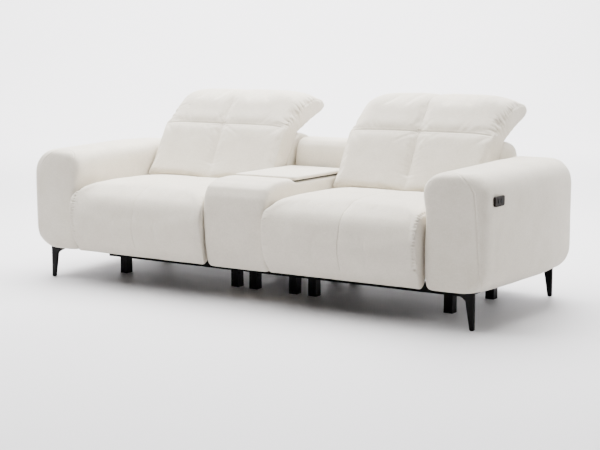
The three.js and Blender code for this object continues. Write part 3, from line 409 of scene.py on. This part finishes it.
def drawn_in(outline, amount):
    """Moves each point of an outline inwards by what a function of the point says."""
    count = len(outline)
    area = sum(outline[i][0] * outline[(i + 1) % count][1] - outline[(i + 1) % count][0] * outline[i][1]
               for i in range(count))
    moved = []
    for i, point in enumerate(outline):
        before, after = outline[i - 1], outline[(i + 1) % count]
        along = Vector((after[0] - before[0], after[1] - before[1])).normalized()
        step = amount(point) * math.copysign(1, area)
        moved.append((point[0] - along.y * step, point[1] + along.x * step, *point[2:]))
    return moved


def slice_of(outline, distance, half, slack, crown):
    """The outline at a distance from an end: rounded in there, slack for the filling, crowned to the middle."""
    swell = 1 - (1 - distance / half) ** 2

    def inward(point):
        spare = slack * looseness(point) * min(1, distance / SLACK_REACH)
        rise = crown * swell * min(1, abs(point[2]) / CROWN_DEPTH)
        return round_in(distance, *point[2:]) + spare - rise

    return drawn_in(outline, inward)


print("a cage has", 2 * len(END_SLICES), "slices")

# %% [markdown]
# Extruding the first slice's face again and again, and putting each new rim where its slice lies, makes one
# closed cage with no seams to weld. Smoothing pulls every corner in a little, so the corners are first pushed
# out by that much.

# %% Cages
SAME_PLACE = 1e-6


def overshot(outline):
    """Pushes the loose points out by what smoothing will take back."""
    pushed = []
    for i, point in enumerate(outline):
        before, after = outline[i - 1], outline[(i + 1) % len(outline)]
        give = looseness(point) / 6
        place = tuple(point[k] + give * (2 * point[k] - before[k] - after[k]) for k in (0, 1))
        pushed.append(place + point[2:])
    return pushed


def cage_across(outline, half, slack, crown):
    """A closed cage: the outline pulled across X from -half to half, slice by slice."""
    places = [-half + s for s in END_SLICES] + [half - s for s in reversed(END_SLICES)]
    bm = bmesh.new()
    face = bm.faces.new([bm.verts.new(spot(places[0], point[0], point[1])) for point in outline])
    rim = list(face.verts)
    for x in places:
        if x > places[0]:
            pulled = bmesh.ops.extrude_face_region(bm, geom=[face])
            face = next(g for g in pulled["geom"] if isinstance(g, bmesh.types.BMFace))
            rim = [next(v for v in face.verts if (v.co - r.co).length < SAME_PLACE) for r in rim]
        for vert, point in zip(rim, overshot(slice_of(outline, half - abs(x), half, slack, crown))):
            vert.co = spot(x, point[0], point[1])
    bmesh.ops.recalc_face_normals(bm, faces=bm.faces)
    return bm


print("cage maker ready")

# %% [markdown]
# A subdivision surface makes the cage smooth, and a voxel remesh gives it an even skin of small squares, which
# is what cloth simulation and sculpting both need.

# %% Skins
VOXEL = 0.0065
SHORTEST_EDGE = 0.0002


def applied(obj):
    """Bakes an object's modifiers into its mesh."""
    bpy.context.view_layer.update()
    shown = obj.evaluated_get(bpy.context.evaluated_depsgraph_get())
    mesh = bpy.data.meshes.new_from_object(shown)
    old = obj.data
    obj.modifiers.clear()
    obj.data = mesh
    bpy.data.meshes.remove(old)
    return obj


def skin(name, bm, levels=2, voxel=VOXEL):
    """Smooths a cage and gives it an even skin."""
    obj = new_object(name, bm)
    if levels:
        smooth = obj.modifiers.new("smooth", "SUBSURF")
        smooth.levels = smooth.render_levels = levels
    remesh = obj.modifiers.new("skin", "REMESH")
    remesh.mode = "VOXEL"
    remesh.voxel_size = voxel
    applied(obj)
    # Cloth can't be simulated where an edge has no length
    bm = bmesh.new()
    bm.from_mesh(obj.data)
    bmesh.ops.remove_doubles(bm, verts=bm.verts, dist=SHORTEST_EDGE)
    bm.to_mesh(obj.data)
    bm.free()
    return obj


def finer(obj):
    """One level of subdivision, for detail smaller than the skin's squares."""
    more = obj.modifiers.new("finer", "SUBSURF")
    more.levels = more.render_levels = 1
    return applied(obj)


print("skin maker ready, voxel", VOXEL)

# %% [markdown]
# A skin has tens of thousands of points, so they are shaped as one array of numbers, not one by one. These
# helpers read the points and normals, write the points back, and finish a piece for the frame.

# %% Shaping a skin
def points_of(obj):
    co = np.empty(len(obj.data.vertices) * 3)
    obj.data.vertices.foreach_get("co", co)
    return co.reshape(-1, 3)


def normals_of(obj):
    out = np.empty(len(obj.data.vertices) * 3, dtype=np.float32)
    obj.data.vertex_normals.foreach_get("vector", out)
    return out.reshape(-1, 3).astype(float)


def set_points(obj, co):
    obj.data.vertices.foreach_set("co", co.ravel())
    obj.data.update()


def millimetres(co):
    """Columns x, y and z in millimetres, with y counted from the plane of the arm fronts."""
    return co[:, 0] / MM, (co[:, 1] - ARM_FRONT_Y) / MM, co[:, 2] / MM


def smoothed(obj, times):
    bm = bmesh.new()
    bm.from_mesh(obj.data)
    for _ in range(times):
        bmesh.ops.smooth_vert(bm, verts=bm.verts, factor=0.5,
                              use_axis_x=True, use_axis_y=True, use_axis_z=True)
    bm.to_mesh(obj.data)
    bm.free()
    return obj


def dressed(obj, slot="cover_fabric"):
    """Puts a cover's finish on it and shades it smooth."""
    obj.data.materials.clear()
    obj.data.materials.append(FINISHES[slot])
    for polygon in obj.data.polygons:
        polygon.use_smooth = True
    return obj


print("shaping tools ready")

# %% [markdown]
# A real cushion is a cover pulled over foam and wadding and then sewn down, so it is full between its seams
# and tight on them. Blender's cloth does the same: the points on the seams and on the boards are held, pressure
# fills the rest, and a cap on each point's move stands for the cover's limited stretch.

# %% Filling a cover
FILL_FRAMES = 20
FILL_PRESSURE = 4.0
FILL_STRETCH = 0.02
LEAST_REACH = 0.01


def filled(obj, held, reach):
    """Swells a skin as stuffing would. Held points stay, and reach caps each point's move in millimetres."""
    start = points_of(obj)
    group = obj.vertex_groups.new(name="held")
    group.add([int(i) for i in np.flatnonzero(held)], 1.0, "REPLACE")
    cloth = obj.modifiers.new("fill", "CLOTH")
    cloth.settings.quality = 4
    cloth.settings.mass = 0.25
    cloth.settings.vertex_group_mass = "held"
    cloth.settings.use_pressure = True
    cloth.settings.uniform_pressure_force = FILL_PRESSURE
    cloth.settings.shrink_min = -FILL_STRETCH
    cloth.settings.effector_weights.gravity = 0
    cloth.collision_settings.use_collision = False
    for number in range(1, FILL_FRAMES + 1):
        bpy.context.scene.frame_set(number)
    applied(obj)
    bpy.context.scene.frame_set(1)
    move = points_of(obj) - start
    size = np.linalg.norm(move, axis=1) + 1e-9
    limit = np.maximum(reach, LEAST_REACH) * MM
    set_points(obj, start + move * (limit * np.tanh(size / limit) / size)[:, None])
    obj.vertex_groups.clear()
    most, median = size.max() / MM, np.median(size) / MM
    print(f"  {obj.name} filled: most {most:.1f} mm before the cap, middle {median:.1f} mm")
    return obj


print("filling takes", FILL_FRAMES, "frames")

# %% [markdown]
# Seams and gathers are worked into the skin afterwards, because a remesh would wipe out anything that fine. A
# seam is a path laid on the skin, and a tree of its points tells how far each point of the skin is from it.

# %% Paths on a skin
def laid_on(obj, path, step=1.5):
    """Resamples a path of places, lays it on the skin and returns its points and the length at each."""
    points = []
    for a, b in zip(path, path[1:]):
        pieces = max(1, round((b - a).length / (step * MM)))
        points += [a.lerp(b, i / pieces) for i in range(pieces)]
    points.append(path[-1])
    points = [obj.closest_point_on_mesh(p)[1] for p in points]
    lengths = [0.0]
    for a, b in zip(points, points[1:]):
        lengths.append(lengths[-1] + (b - a).length / MM)
    return points, lengths


def near_path(obj, points, lengths, width):
    """For each vertex within width millimetres of the path: its index, distance and length along the path."""
    tree = KDTree(len(points))
    for i, point in enumerate(points):
        tree.insert(point, i)
    tree.balance()
    co = points_of(obj)
    low = np.min([tuple(p) for p in points], axis=0) - width * MM
    high = np.max([tuple(p) for p in points], axis=0) + width * MM
    found = []
    for i in np.flatnonzero(((co >= low) & (co <= high)).all(axis=1)):
        _, index, distance = tree.find(co[i])
        if distance < width * MM:
            found.append((int(i), distance / MM, lengths[index]))
    return found


def split_near(obj, points, width):
    """Splits the skin finer within width millimetres of a path."""
    close = {i for i, _, _ in near_path(obj, points, [0.0] * len(points), width)}
    bm = bmesh.new()
    bm.from_mesh(obj.data)
    edges = [e for e in bm.edges if e.verts[0].index in close and e.verts[1].index in close]
    bmesh.ops.subdivide_edges(bm, edges=edges, cuts=1, use_grid_fill=True, smooth=0.0)
    bm.to_mesh(obj.data)
    bm.free()


print("path tools ready")

# %% [markdown]
# Along a seam the skin is split finer, sinks on the line, rises in a small lip on each side, and dimples where
# each stitch of the top-stitching pulls down. A bell curve of the distance from the line shapes each of these,
# so they blend without an edge.

# %% Seams
SPLIT_WIDTH = 13
SEAM_REACH = 20
SEAM_END = 12
LIP_AT, LIP_HALF = 6, 3.5
STITCH_LENGTH = 9
STITCH_DIP, STITCH_HALF = 0.8, 1.7


def seam(obj, path, depth=2.6, half=2.6, lip=0.7, stitched=(8.0,), fine=True):
    """Sews a seam into a skin along a path of places, with a row of stitches at each distance in stitched."""
    points, lengths = laid_on(obj, path)
    if fine:
        split_near(obj, points, SPLIT_WIDTH)
    co, normals = points_of(obj), normals_of(obj)
    for i, distance, along in near_path(obj, points, lengths, max(SEAM_REACH, half * 2.6)):
        ends = min(1.0, along / SEAM_END, (lengths[-1] - along) / SEAM_END)
        raised = lip * math.exp(-((distance - LIP_AT) / LIP_HALF) ** 2)
        drop = depth * math.exp(-(distance / half) ** 2) - raised
        for row in stitched:
            beat = 0.45 + 0.55 * abs(math.sin(math.pi * along / STITCH_LENGTH))
            drop += STITCH_DIP * beat * math.exp(-((distance - row) / STITCH_HALF) ** 2)
        co[i] -= normals[i] * drop * MM * max(0.0, ends)
    set_points(obj, co)
    return obj


def valley(obj, path, depth, half):
    """Presses a broad soft valley into a skin along a path, where a seam pulls the filling down."""
    return seam(obj, path, depth, half, lip=0, stitched=(), fine=False)


print("seam tools ready")

# %% [markdown]
# Gathers are the short folds square to a seam where too much cloth is sewn into it. They come from noise that
# varies along the seam but hardly away from it: where the noise crosses zero there is a sharp crease, and in
# between the cloth stands up. Slower noise makes some folds run out further than others. The slight unevenness
# of the wadding under every cover is noise too, far broader and shallower.

# %% Gathers and wadding
GATHER_ENDS = 30.0
CREASE_SHARPNESS = 2.6
FLAT_SIDE_FADE = 5


def gathers(obj, path, seed, deep, width, pitch, end_x=None):
    """Puckers a skin beside a path: short folds square to it, deepest close by and dying away. They stop
    short of the flat side at end_x."""
    points, lengths = laid_on(obj, path)
    co, normals = points_of(obj), normals_of(obj)
    room = np.ones(len(co))
    if end_x is not None:
        inwards = 1 if abs(end_x) > seat_x else -1
        room = np.clip(inwards * (abs(end_x) - np.abs(co[:, 0]) / MM) / FLAT_SIDE_FADE, 0, 1)
    for i, distance, along in near_path(obj, points, lengths, width):
        long = 0.35 + 0.65 * noise.noise((along / (pitch * 2.2), seed, 0.0)) ** 2 * 4
        fade = math.exp(-(distance / (width * 0.42 * min(1.4, long))) ** 2)
        sway = 0.35 * noise.noise((along / 60, distance / 40, seed + 5.0))
        ridge = noise.noise((along / pitch + sway, distance / 150, seed + 1.0))
        crease = 1 - min(1.0, abs(ridge) * CREASE_SHARPNESS)
        taper = min(1.0, max(0.0, along / GATHER_ENDS), max(0.0, (lengths[-1] - along) / GATHER_ENDS))
        co[i] -= normals[i] * (deep * crease ** 1.5 - deep * 0.3) * fade * taper * room[i] * MM
    set_points(obj, co)
    return obj


def rumpled(obj, seed, size=0.11, amount=1.3):
    """The slow unevenness of wadding under a cover, in blobs of size metres and amount millimetres."""
    co, normals = points_of(obj), normals_of(obj)
    place = Vector((seed * 3.1, seed * 1.7, seed))
    lift = np.array([noise.noise(Vector(p) / size + place)
                     + 0.4 * noise.noise(Vector(p) / (size * 0.4) + place) for p in co])
    set_points(obj, co + normals * (lift * amount * MM)[:, None])
    return obj


def mirrored(obj, name):
    """The same piece for the other side of the sofa."""
    bm = bmesh.new()
    bm.from_mesh(obj.data)
    bmesh.ops.scale(bm, vec=(-1, 1, 1), verts=bm.verts)
    bmesh.ops.reverse_faces(bm, faces=bm.faces)
    return new_object(name, bm)


print("gathers and wadding ready")

# %% [markdown]
# ## Seats
# Each seat is one cover: over the top, round the front and down to the base. It is fastened under its deck and
# behind the footrest's board, so those points are held while pressure fills the rest. One skin serves both
# seats, because it is mirrored before any of its folds are made.

# %% Seat skin
SEAT_OUTLINE = [
    (4, 140, 5, 14), (-11, 154, 7, 14), (-28, 192, 8, 14), (-46, 239, 8, 14), (-56, 289, 8, 14),
    (-60, 344, 8, 16), (-53, 386, 9, 22), (-38, 412, 11, 32), (-23, 428, 14, 42), (9, 447, 18, 60),
    (50, 458, 24, 90), (108, 465, 30, 110), (195, 469, 34, 120), (294, 470, 40, 130), (411, 467, 44, 130),
    (516, 460, 44, 130), (535, 450, 36, 120), (545, 435, 20, 90), (545, 337, 0, 30), (300, 337, 0, 30),
    (120, 337, 0, 30), (55, 336, 0, 30), (45, 320, 0, 30), (44, 240, 0, 30), (43, 170, 0, 30),
    (34, 158, 1, 30),
]
SEAT_SLACK = 5
SEAT_CROWN = 4
SIDE_HELD = 12
END_GAP = 5.0

seat_skin = skin("seat_skin", cage_across(SEAT_OUTLINE, seat_half - END_GAP, SEAT_SLACK, SEAT_CROWN))
x, y, z = millimetres(points_of(seat_skin))
on_deck = ((z < 343) & (y > 52)) | (y > 538)
on_footrest_board = ((y > 36) & (z < 336)) | (z < 160)
side = np.abs(x) > seat_half - SIDE_HELD
filled(seat_skin, on_deck | on_footrest_board, np.where(side, 1.0, 9.0))
co = points_of(seat_skin)
co[:, 0] = np.clip(co[:, 0], -(seat_half - END_GAP) * MM, (seat_half - END_GAP) * MM)
co[:, 0] += SEAT_X
set_points(seat_skin, co)
smoothed(seat_skin, 2)
finer(seat_skin)
rumpled(seat_skin, 1)
print("seat skin:", len(seat_skin.data.vertices), "points")

# %% [markdown]
# A seat is squeezed where an arm's swollen front presses on its side, and its lip bulges over its neighbours
# in front of them, where nothing holds it. Both are pushes that grow smoothly towards the edge.

# %% Pressed sides and bulging lips
# How far the swollen front of each arm presses its seat's side in
ARM_PRESS = {"left": 1, "right": 13}
PRESS_WIDTH = 120
PRESS_BACK, PRESS_FADE = 340, 100
# How far the lip of a seat bulges sideways, and the strip along its edge that does
LIP_BULGE = 15
LIP_WIDTH, LIP_RISE = 70, 60
LIP_BACK, LIP_FADE = 4, 34


def bulged(obj, sign, sides):
    """Bulges the lip of a seat sideways: 1 in sides is over the arm and -1 over the console."""
    co = points_of(obj)
    x, y, _ = millimetres(co)
    for edge in sides:
        off = (np.abs(x) - seat_x) * edge
        near = np.clip((off - seat_half + LIP_WIDTH) / LIP_RISE, 0, 1) ** 2
        near = near * np.clip((LIP_BACK - y) / LIP_FADE, 0, 1)
        co[:, 0] += sign * edge * LIP_BULGE * MM * near
    set_points(obj, co)
    return obj


def pressed_in(obj, sign, press):
    """Presses the side of a seat in beside its arm, most at the edge and nothing far behind the arm's front."""
    co = points_of(obj)
    x, y, _ = millimetres(co)
    near = np.clip((np.abs(x) - seat_x - seat_half + PRESS_WIDTH) / PRESS_WIDTH, 0, 1) ** 1.5
    near = near * np.clip((PRESS_BACK - y) / PRESS_FADE, 0, 1)
    co[:, 0] -= sign * press * MM * near
    set_points(obj, co)
    return obj


print("lips bulge", LIP_BULGE, "mm, arms press in", ARM_PRESS)

# %% [markdown]
# A top-stitched seam runs down the middle of each seat, in a broad valley that it pulls into the filling. The
# seam that closes the side puckers the cover, more beside the arm than beside the console. The lower front is
# the footrest.

# %% Seat covers
def seat_path(distance, x, first=2, last=-11):
    """Up the front of a seat and over its top, at one x, which is a distance from the seat's end."""
    return [spot(x, point[0], point[1])
            for point in slice_of(SEAT_OUTLINE, distance, seat_half, 0, SEAT_CROWN)[first:last]]


for side_name, sign in SIDES.items():
    seat = seat_skin if sign > 0 else mirrored(seat_skin, "left_seat_upholstery")
    seat.name = f"{side_name}_seat_upholstery"
    pressed_in(seat, sign, ARM_PRESS[side_name])
    bulged(seat, sign, (-1, 1) if side_name == "left" else (-1,))
    centre = sign * seat_x
    middle_path = seat_path(seat_half, centre)
    valley(seat, middle_path, 1.3, 16)
    seam(seat, middle_path, stitched=(7.5,))
    arm_edge = centre + sign * (seat_half - END_GAP - ARM_PRESS[side_name] - 9)
    inner_edge = centre - sign * (seat_half - END_GAP - 5)
    gathers(seat, seat_path(12, arm_edge, 2, -14), 11 + sign, deep=9.0, width=42, pitch=14)
    gathers(seat, seat_path(7, inner_edge, 2, -14), 17 + sign, deep=1.8, width=40, pitch=16)
    dressed(seat)
    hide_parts(f"{side_name}_seat_cushion", f"{side_name}_footrest_pad")
    spot(centre, -6, 444)
    spot(centre, -70, 380)
    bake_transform(seat)
    print(side_name, "seat:", len(seat.data.vertices), "points")

# %% [markdown]
# ## Backs
# A back cushion and its headrest wear one cover too. It is fastened to its board at the rear and held along its
# two seams: one across it, just below the headrest's hinge line, and one down its middle. Heights on the front
# of a back are measured up from the hinge line, along its lean.

# %% Back skin
BACK_OUTLINE = [
    (512, 466, -14, 110), (540, 520, 6, 50), (574, 590, 12, 50), (607, 655, 17, 65), (636, 712, 28, 90),
    (660, 745, 46, 115), (690, 779, 58, 130), (720, 823, 92, 135), (750, 853, 100, 135), (782, 868, 98, 135),
    (820, 872, 90, 135), (870, 869, 66, 125), (925, 862, 40, 100), (972, 849, 24, 75), (1006, 832, 15, 50),
    (1022, 810, 11, 38), (1012, 788, 8, 30), (966, 762, 4, 25), (885, 735, 4, 25), (820, 710, 4, 25),
    (770, 686, 4, 25), (735, 676, 1, 25), (716, 660, 0, 30), (690, 608, 0, 30), (650, 528, 0, 30),
    (612, 450, 0, 30), (596, 428, -6, 60), (550, 450, -24, 120), (526, 460, -24, 120),
]
BACK_LEAN = math.radians(26.4)
HINGE_Y, HINGE_Z = 689.26, 711.57
CROSS_DROP = -13
BACK_SLACK = 5
BACK_CROWN = 5
SEAM_HELD = 6


def along_back(y, z):
    """How far up the back a place is from the headrest's hinge line."""
    return (y - HINGE_Y) * math.sin(BACK_LEAN) + (z - HINGE_Z) * math.cos(BACK_LEAN)


back_skin = skin("back_skin", cage_across(BACK_OUTLINE, seat_half - END_GAP, BACK_SLACK, BACK_CROWN))
normals = normals_of(back_skin)
x, y, z = millimetres(points_of(back_skin))
rear = (normals[:, 1] > 0.25) & (z < 700)
under_head = (normals[:, 2] < -0.3) & (y > 700)
middle = (np.abs(x) < SEAM_HELD) & (normals[:, 1] < 0.5) & ~rear & ~under_head
cross = (normals[:, 1] < -0.2) & (np.abs(along_back(y, z) - CROSS_DROP) < SEAM_HELD)
bottom = z < 445
side = np.abs(x) > seat_half - SIDE_HELD
filled(back_skin, rear | middle | cross | bottom, np.where(side, 1.5, np.where(under_head, 5.0, 10.0)))
co = points_of(back_skin)
co[:, 0] = np.clip(co[:, 0], -(seat_half - END_GAP) * MM, (seat_half - END_GAP) * MM) + SEAT_X
set_points(back_skin, co)
smoothed(back_skin, 2)
finer(back_skin)
rumpled(back_skin, 2)
print("back skin:", len(back_skin.data.vertices), "points")

# %% [markdown]
# Where the two seams cross, the cover is pulled in and small creases spread from the crossing. Each crease is
# a short path from the hub, deepest in its middle, with a faint ridge on each side of it.

# %% The crossing of the seams
# Where each crease ends across and up from the crossing, and its depth
CREASES = [(-118, -62, 2.6), (62, -84, 1.3), (56, 66, 2.2), (104, -30, 1.0), (-70, 30, 0.9)]
PINCH_DEPTH, PINCH_HALF, PINCH_REACH = 5.0, 36, 110
CREASE_HALF, RIDGE_HALF, CREASE_REACH = 9, 20, 40
# The cushion's front stands about this far in front of the hinge line
FRONT_OFFSET = 50


def across_back(x0, x1, lift):
    """A path across the front of a back, lift millimetres up from the hinge line."""
    y = HINGE_Y + lift * math.sin(BACK_LEAN) - FRONT_OFFSET * math.cos(BACK_LEAN)
    z = HINGE_Z + lift * math.cos(BACK_LEAN) + FRONT_OFFSET * math.sin(BACK_LEAN)
    return [spot(x0 + (x1 - x0) * i / 24, y, z) for i in range(25)]


def pinched(obj, centre, sign):
    """Pulls the crossing in and presses its creases into a back cover."""
    crossing = across_back(centre, centre, CROSS_DROP)[0]
    hub = obj.closest_point_on_mesh(crossing)[1]
    co, normals = points_of(obj), normals_of(obj)
    distance = np.linalg.norm(co - np.array(hub), axis=1) / MM
    near = distance < PINCH_REACH
    co[near] -= normals[near] * (PINCH_DEPTH * np.exp(-(distance[near] / PINCH_HALF) ** 2) * MM)[:, None]
    set_points(obj, co)
    for across, up, depth in CREASES:
        aim = hub + Vector((across * sign * MM, up * math.sin(BACK_LEAN) * MM, up * math.cos(BACK_LEAN) * MM))
        points, lengths = laid_on(obj, [hub, aim], 3)
        co, normals = points_of(obj), normals_of(obj)
        for i, off, along in near_path(obj, points, lengths, CREASE_REACH):
            fade = math.sin(math.pi * min(1.0, 0.18 + 0.82 * along / lengths[-1])) ** 0.7
            fold = math.exp(-(off / CREASE_HALF) ** 2) - 0.35 * math.exp(-(off / RIDGE_HALF) ** 2)
            co[i] -= normals[i] * depth * fade * fold * MM
        set_points(obj, co)


print(len(CREASES), "creases spread from each crossing")

# %% [markdown]
# The middle seam is top-stitched and the cross seam is plain. The ends of the headrest are gathered deeply into
# their side seams, with folds that run a long way in.

# %% Back covers
def back_path(distance, x, first=1, last=15):
    """Up the front of a back and over its top, at one x, which is a distance from the back's end."""
    return [spot(x, point[0], point[1])
            for point in slice_of(BACK_OUTLINE, distance, seat_half, 0, BACK_CROWN)[first:last]]


for side_name, sign in SIDES.items():
    back = back_skin if sign > 0 else mirrored(back_skin, "left_back_upholstery")
    back.name = f"{side_name}_back_upholstery"
    centre = sign * seat_x
    pinched(back, centre, sign)
    middle_path = back_path(seat_half, centre)
    cross_path = across_back(centre - seat_half + 8, centre + seat_half - 8, CROSS_DROP)
    valley(back, middle_path, 4.5, 24)
    valley(back, cross_path, 2.5, 20)
    seam(back, middle_path, stitched=(8.5,))
    seam(back, cross_path, depth=1.9, half=3.6, lip=0.5, stitched=())
    for edge in (-1, 1):
        end_x = centre + edge * (seat_half - END_GAP)
        side_path = back_path(4, end_x - edge * 1.5, 4, 16)
        gathers(back, side_path, 23 + 5 * sign + edge, deep=8.5, width=190, pitch=26, end_x=end_x)
        seam(back, side_path, depth=2.4, half=2.6, lip=0.6, stitched=(), fine=False)
    dressed(back)
    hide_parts(f"{side_name}_back_cushion", f"{side_name}_headrest_cushion")
    spot(centre, 660, 660)
    spot(centre, 713, 765)
    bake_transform(back)
    print(side_name, "back:", len(back.data.vertices), "points")

# %% [markdown]
# ## Arms
# The arms are foam over a board, wrapped tight. Their solids are already round, so their skins start from them,
# with the pocket behind the control plate closed over: the plate stands proud of the cloth and hides it. The
# cloth is fuller than the solid at the outer front corner and slacker at the outer rear one.

# %% Arm skin
SAME_POINT = 1e-5
ARM_VOXEL = 0.0095
CORNER_OUT, CORNER_FORWARD = 14, 8
REAR_IN, REAR_FORWARD = 13, 22
POCKET_ROOM, POCKET_DEPTH, PLATE_PROUD = 0.6, 12, 2


def from_solid(node, name, voxel=VOXEL, smooth=6, closed=None):
    """A skin from one of the frame's solids. closed is a box in millimetres whose hollow is filled in."""
    bm = bmesh.new()
    bm.from_mesh(frame["nodes"][node].data)
    bmesh.ops.remove_doubles(bm, verts=bm.verts, dist=SAME_POINT)
    if closed:
        (x0, y0, z0), (x1, y1, z1) = spot(*closed[0]), spot(*closed[1])
        inside = {v for v in bm.verts if x0 < v.co.x < x1 and y0 < v.co.y < y1 and z0 < v.co.z < z1}
        hollow = [f for f in bm.faces if all(v in inside for v in f.verts)]
        bmesh.ops.delete(bm, geom=hollow, context="FACES")
        open_edges = [e for e in bm.edges if e.is_boundary]
        bmesh.ops.holes_fill(bm, edges=open_edges, sides=0)
    obj = skin(name, bm, levels=0, voxel=voxel)
    return smoothed(obj, smooth)


plate_low, plate_high = ((corner[0] / MM, (corner[1] - ARM_FRONT_Y) / MM, corner[2] / MM)
                         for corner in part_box("right_control_plate"))
pocket = ((plate_low[0] - POCKET_DEPTH, plate_low[1] - POCKET_ROOM, plate_low[2] - POCKET_ROOM),
          (plate_high[0] + PLATE_PROUD, plate_high[1] + POCKET_ROOM, plate_high[2] + POCKET_ROOM))
arm_skin = from_solid("right_arm_cover", "arm_skin", voxel=ARM_VOXEL, smooth=8, closed=pocket)
smoothed(arm_skin, 2)
co = points_of(arm_skin)
x, y, z = millimetres(co)
level = np.clip((z - 140) / 60, 0, 1) * np.clip((625 - z) / 90, 0, 1)
corner = np.clip((x - 1080) / 70, 0, 1) * np.clip((45 - y) / 45, 0, 1) * level
rear_side = np.clip((x - 1085) / 90, 0, 1)
co[:, 0] += (CORNER_OUT * corner - REAR_IN * rear_side * np.clip((y - 620) / 200, 0, 1)) * MM
co[:, 1] -= (CORNER_FORWARD * corner + REAR_FORWARD * rear_side * np.clip((y - 760) / 120, 0, 1)) * MM
set_points(arm_skin, co)
smoothed(arm_skin, 2)
finer(arm_skin)
rumpled(arm_skin, 3, size=0.16, amount=1.2)
print("arm skin:", len(arm_skin.data.vertices), "points")

# %% [markdown]
# The front of an arm is a panel of its own, sewn to the side panel along a plain seam that follows the outer
# edge. The right arm's front swells in over its seat's side, most at the height of the seat's front. Each
# cover's underside hangs as low as the plates of the legs, which lie in it.

# %% Arm covers
ARM_SEAM = [
    (925, 12, 560), (950, 26, 596), (980, 37, 608), (1020, 22, 604), (1064, -1, 587), (1093, -5, 565),
    (1110, -6, 539), (1118, -6, 480), (1126, -5, 364), (1134, 0, 247), (1139, 5, 175), (1138, 14, 152),
]
SWELL = {"left": 0, "right": 15}
ARM_HANG = 6
for side_name, sign in SIDES.items():
    arm = arm_skin if sign > 0 else mirrored(arm_skin, "left_arm_upholstery")
    arm.name = f"{side_name}_arm_upholstery"
    co = points_of(arm)
    x, y, z = millimetres(co)
    swell = np.clip((1000 - np.abs(x)) / 60, 0, 1) * np.clip((130 - y) / 100, 0, 1)
    swell *= np.sin(np.pi * np.clip((z - 60) / 520, 0, 1)) ** 0.8
    co[:, 0] -= sign * SWELL[side_name] * MM * swell
    co[:, 2] -= ARM_HANG * MM * np.clip((205 - z) / 50, 0, 1)
    set_points(arm, co)
    seam(arm, [spot(sign * x, y, z) for x, y, z in ARM_SEAM], depth=2.4, half=2.4, stitched=())
    dressed(arm)
    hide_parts(f"{side_name}_arm_cover")
    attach(arm, "base")
    print(side_name, "arm:", len(arm.data.vertices), "points")

# %% [markdown]
# ## Shells, panels, console and middle back
# The backs' rear shells, the fixed panels below them, the console's body and the block behind it are tight
# covers over boards. Their skins come from their solids, smoothed more where the padding is thicker. The
# console's front hangs a little below its base.

# %% Tight covers
CONSOLE_HANG = 11
MIDDLE_NARROWED = 0.985
PANEL_VOXEL = 0.005
for side_name, sign in SIDES.items():
    shell = dressed(from_solid(f"{side_name}_back_shell", f"{side_name}_shell_upholstery", smooth=18))
    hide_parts(f"{side_name}_back_shell")
    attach(shell, f"{side_name}_backrest")
    panel = dressed(from_solid(f"{side_name}_rear_panel", f"{side_name}_rear_panel_upholstery",
                               voxel=PANEL_VOXEL, smooth=2))
    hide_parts(f"{side_name}_rear_panel")
    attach(panel, "base")

console = from_solid("console_cover", "console_upholstery", smooth=4)
co = points_of(console)
x, y, z = millimetres(co)
co[:, 2] -= CONSOLE_HANG * MM * np.clip((215 - z) / 60, 0, 1) * np.clip((60 - y) / 50, 0, 1)
set_points(console, co)
rumpled(console, 5, amount=0.8)
dressed(console)
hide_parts("console_cover")
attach(console, "base")

middle_back = from_solid("center_back_cover", "center_back_upholstery", smooth=10)
co = points_of(middle_back)
co[:, 0] *= MIDDLE_NARROWED
set_points(middle_back, co)
rumpled(middle_back, 6, amount=0.8)
dressed(middle_back)
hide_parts("center_back_cover")
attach(middle_back, "base")
print("shells, panels, console and middle back dressed")

# %% [markdown]
# The console's lid is a board with a thin pad wrapped down over its edges, so only the board's underside shows.
# A bevelled block, remeshed finely and smoothed a little, is all it takes.

# %% Console lid
LID = ((-160, 217, 514.5), (160, 674, 531))
LID_EDGE = 6
LID_VOXEL = 0.004
lid_bm = bmesh.new()
bmesh.ops.create_cube(lid_bm, size=1)
for vert in lid_bm.verts:
    vert.co = spot(*(LID[vert.co[axis] > 0][axis] for axis in range(3)))
bmesh.ops.bevel(lid_bm, geom=[e for e in lid_bm.edges], offset=LID_EDGE * MM, segments=3, profile=0.5,
                affect="EDGES", material=-1)
lid = skin("console_lid_upholstery", lid_bm, levels=0, voxel=LID_VOXEL)
smoothed(lid, 3)
rumpled(lid, 7, amount=0.7)
dressed(lid)
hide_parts("console_lid_pad")
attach(lid, "console_lid")
print("lid dressed:", len(lid.data.vertices), "points")

# %% [markdown]
# ## Finish
# The last cell only imports json.

# %% The end
import json
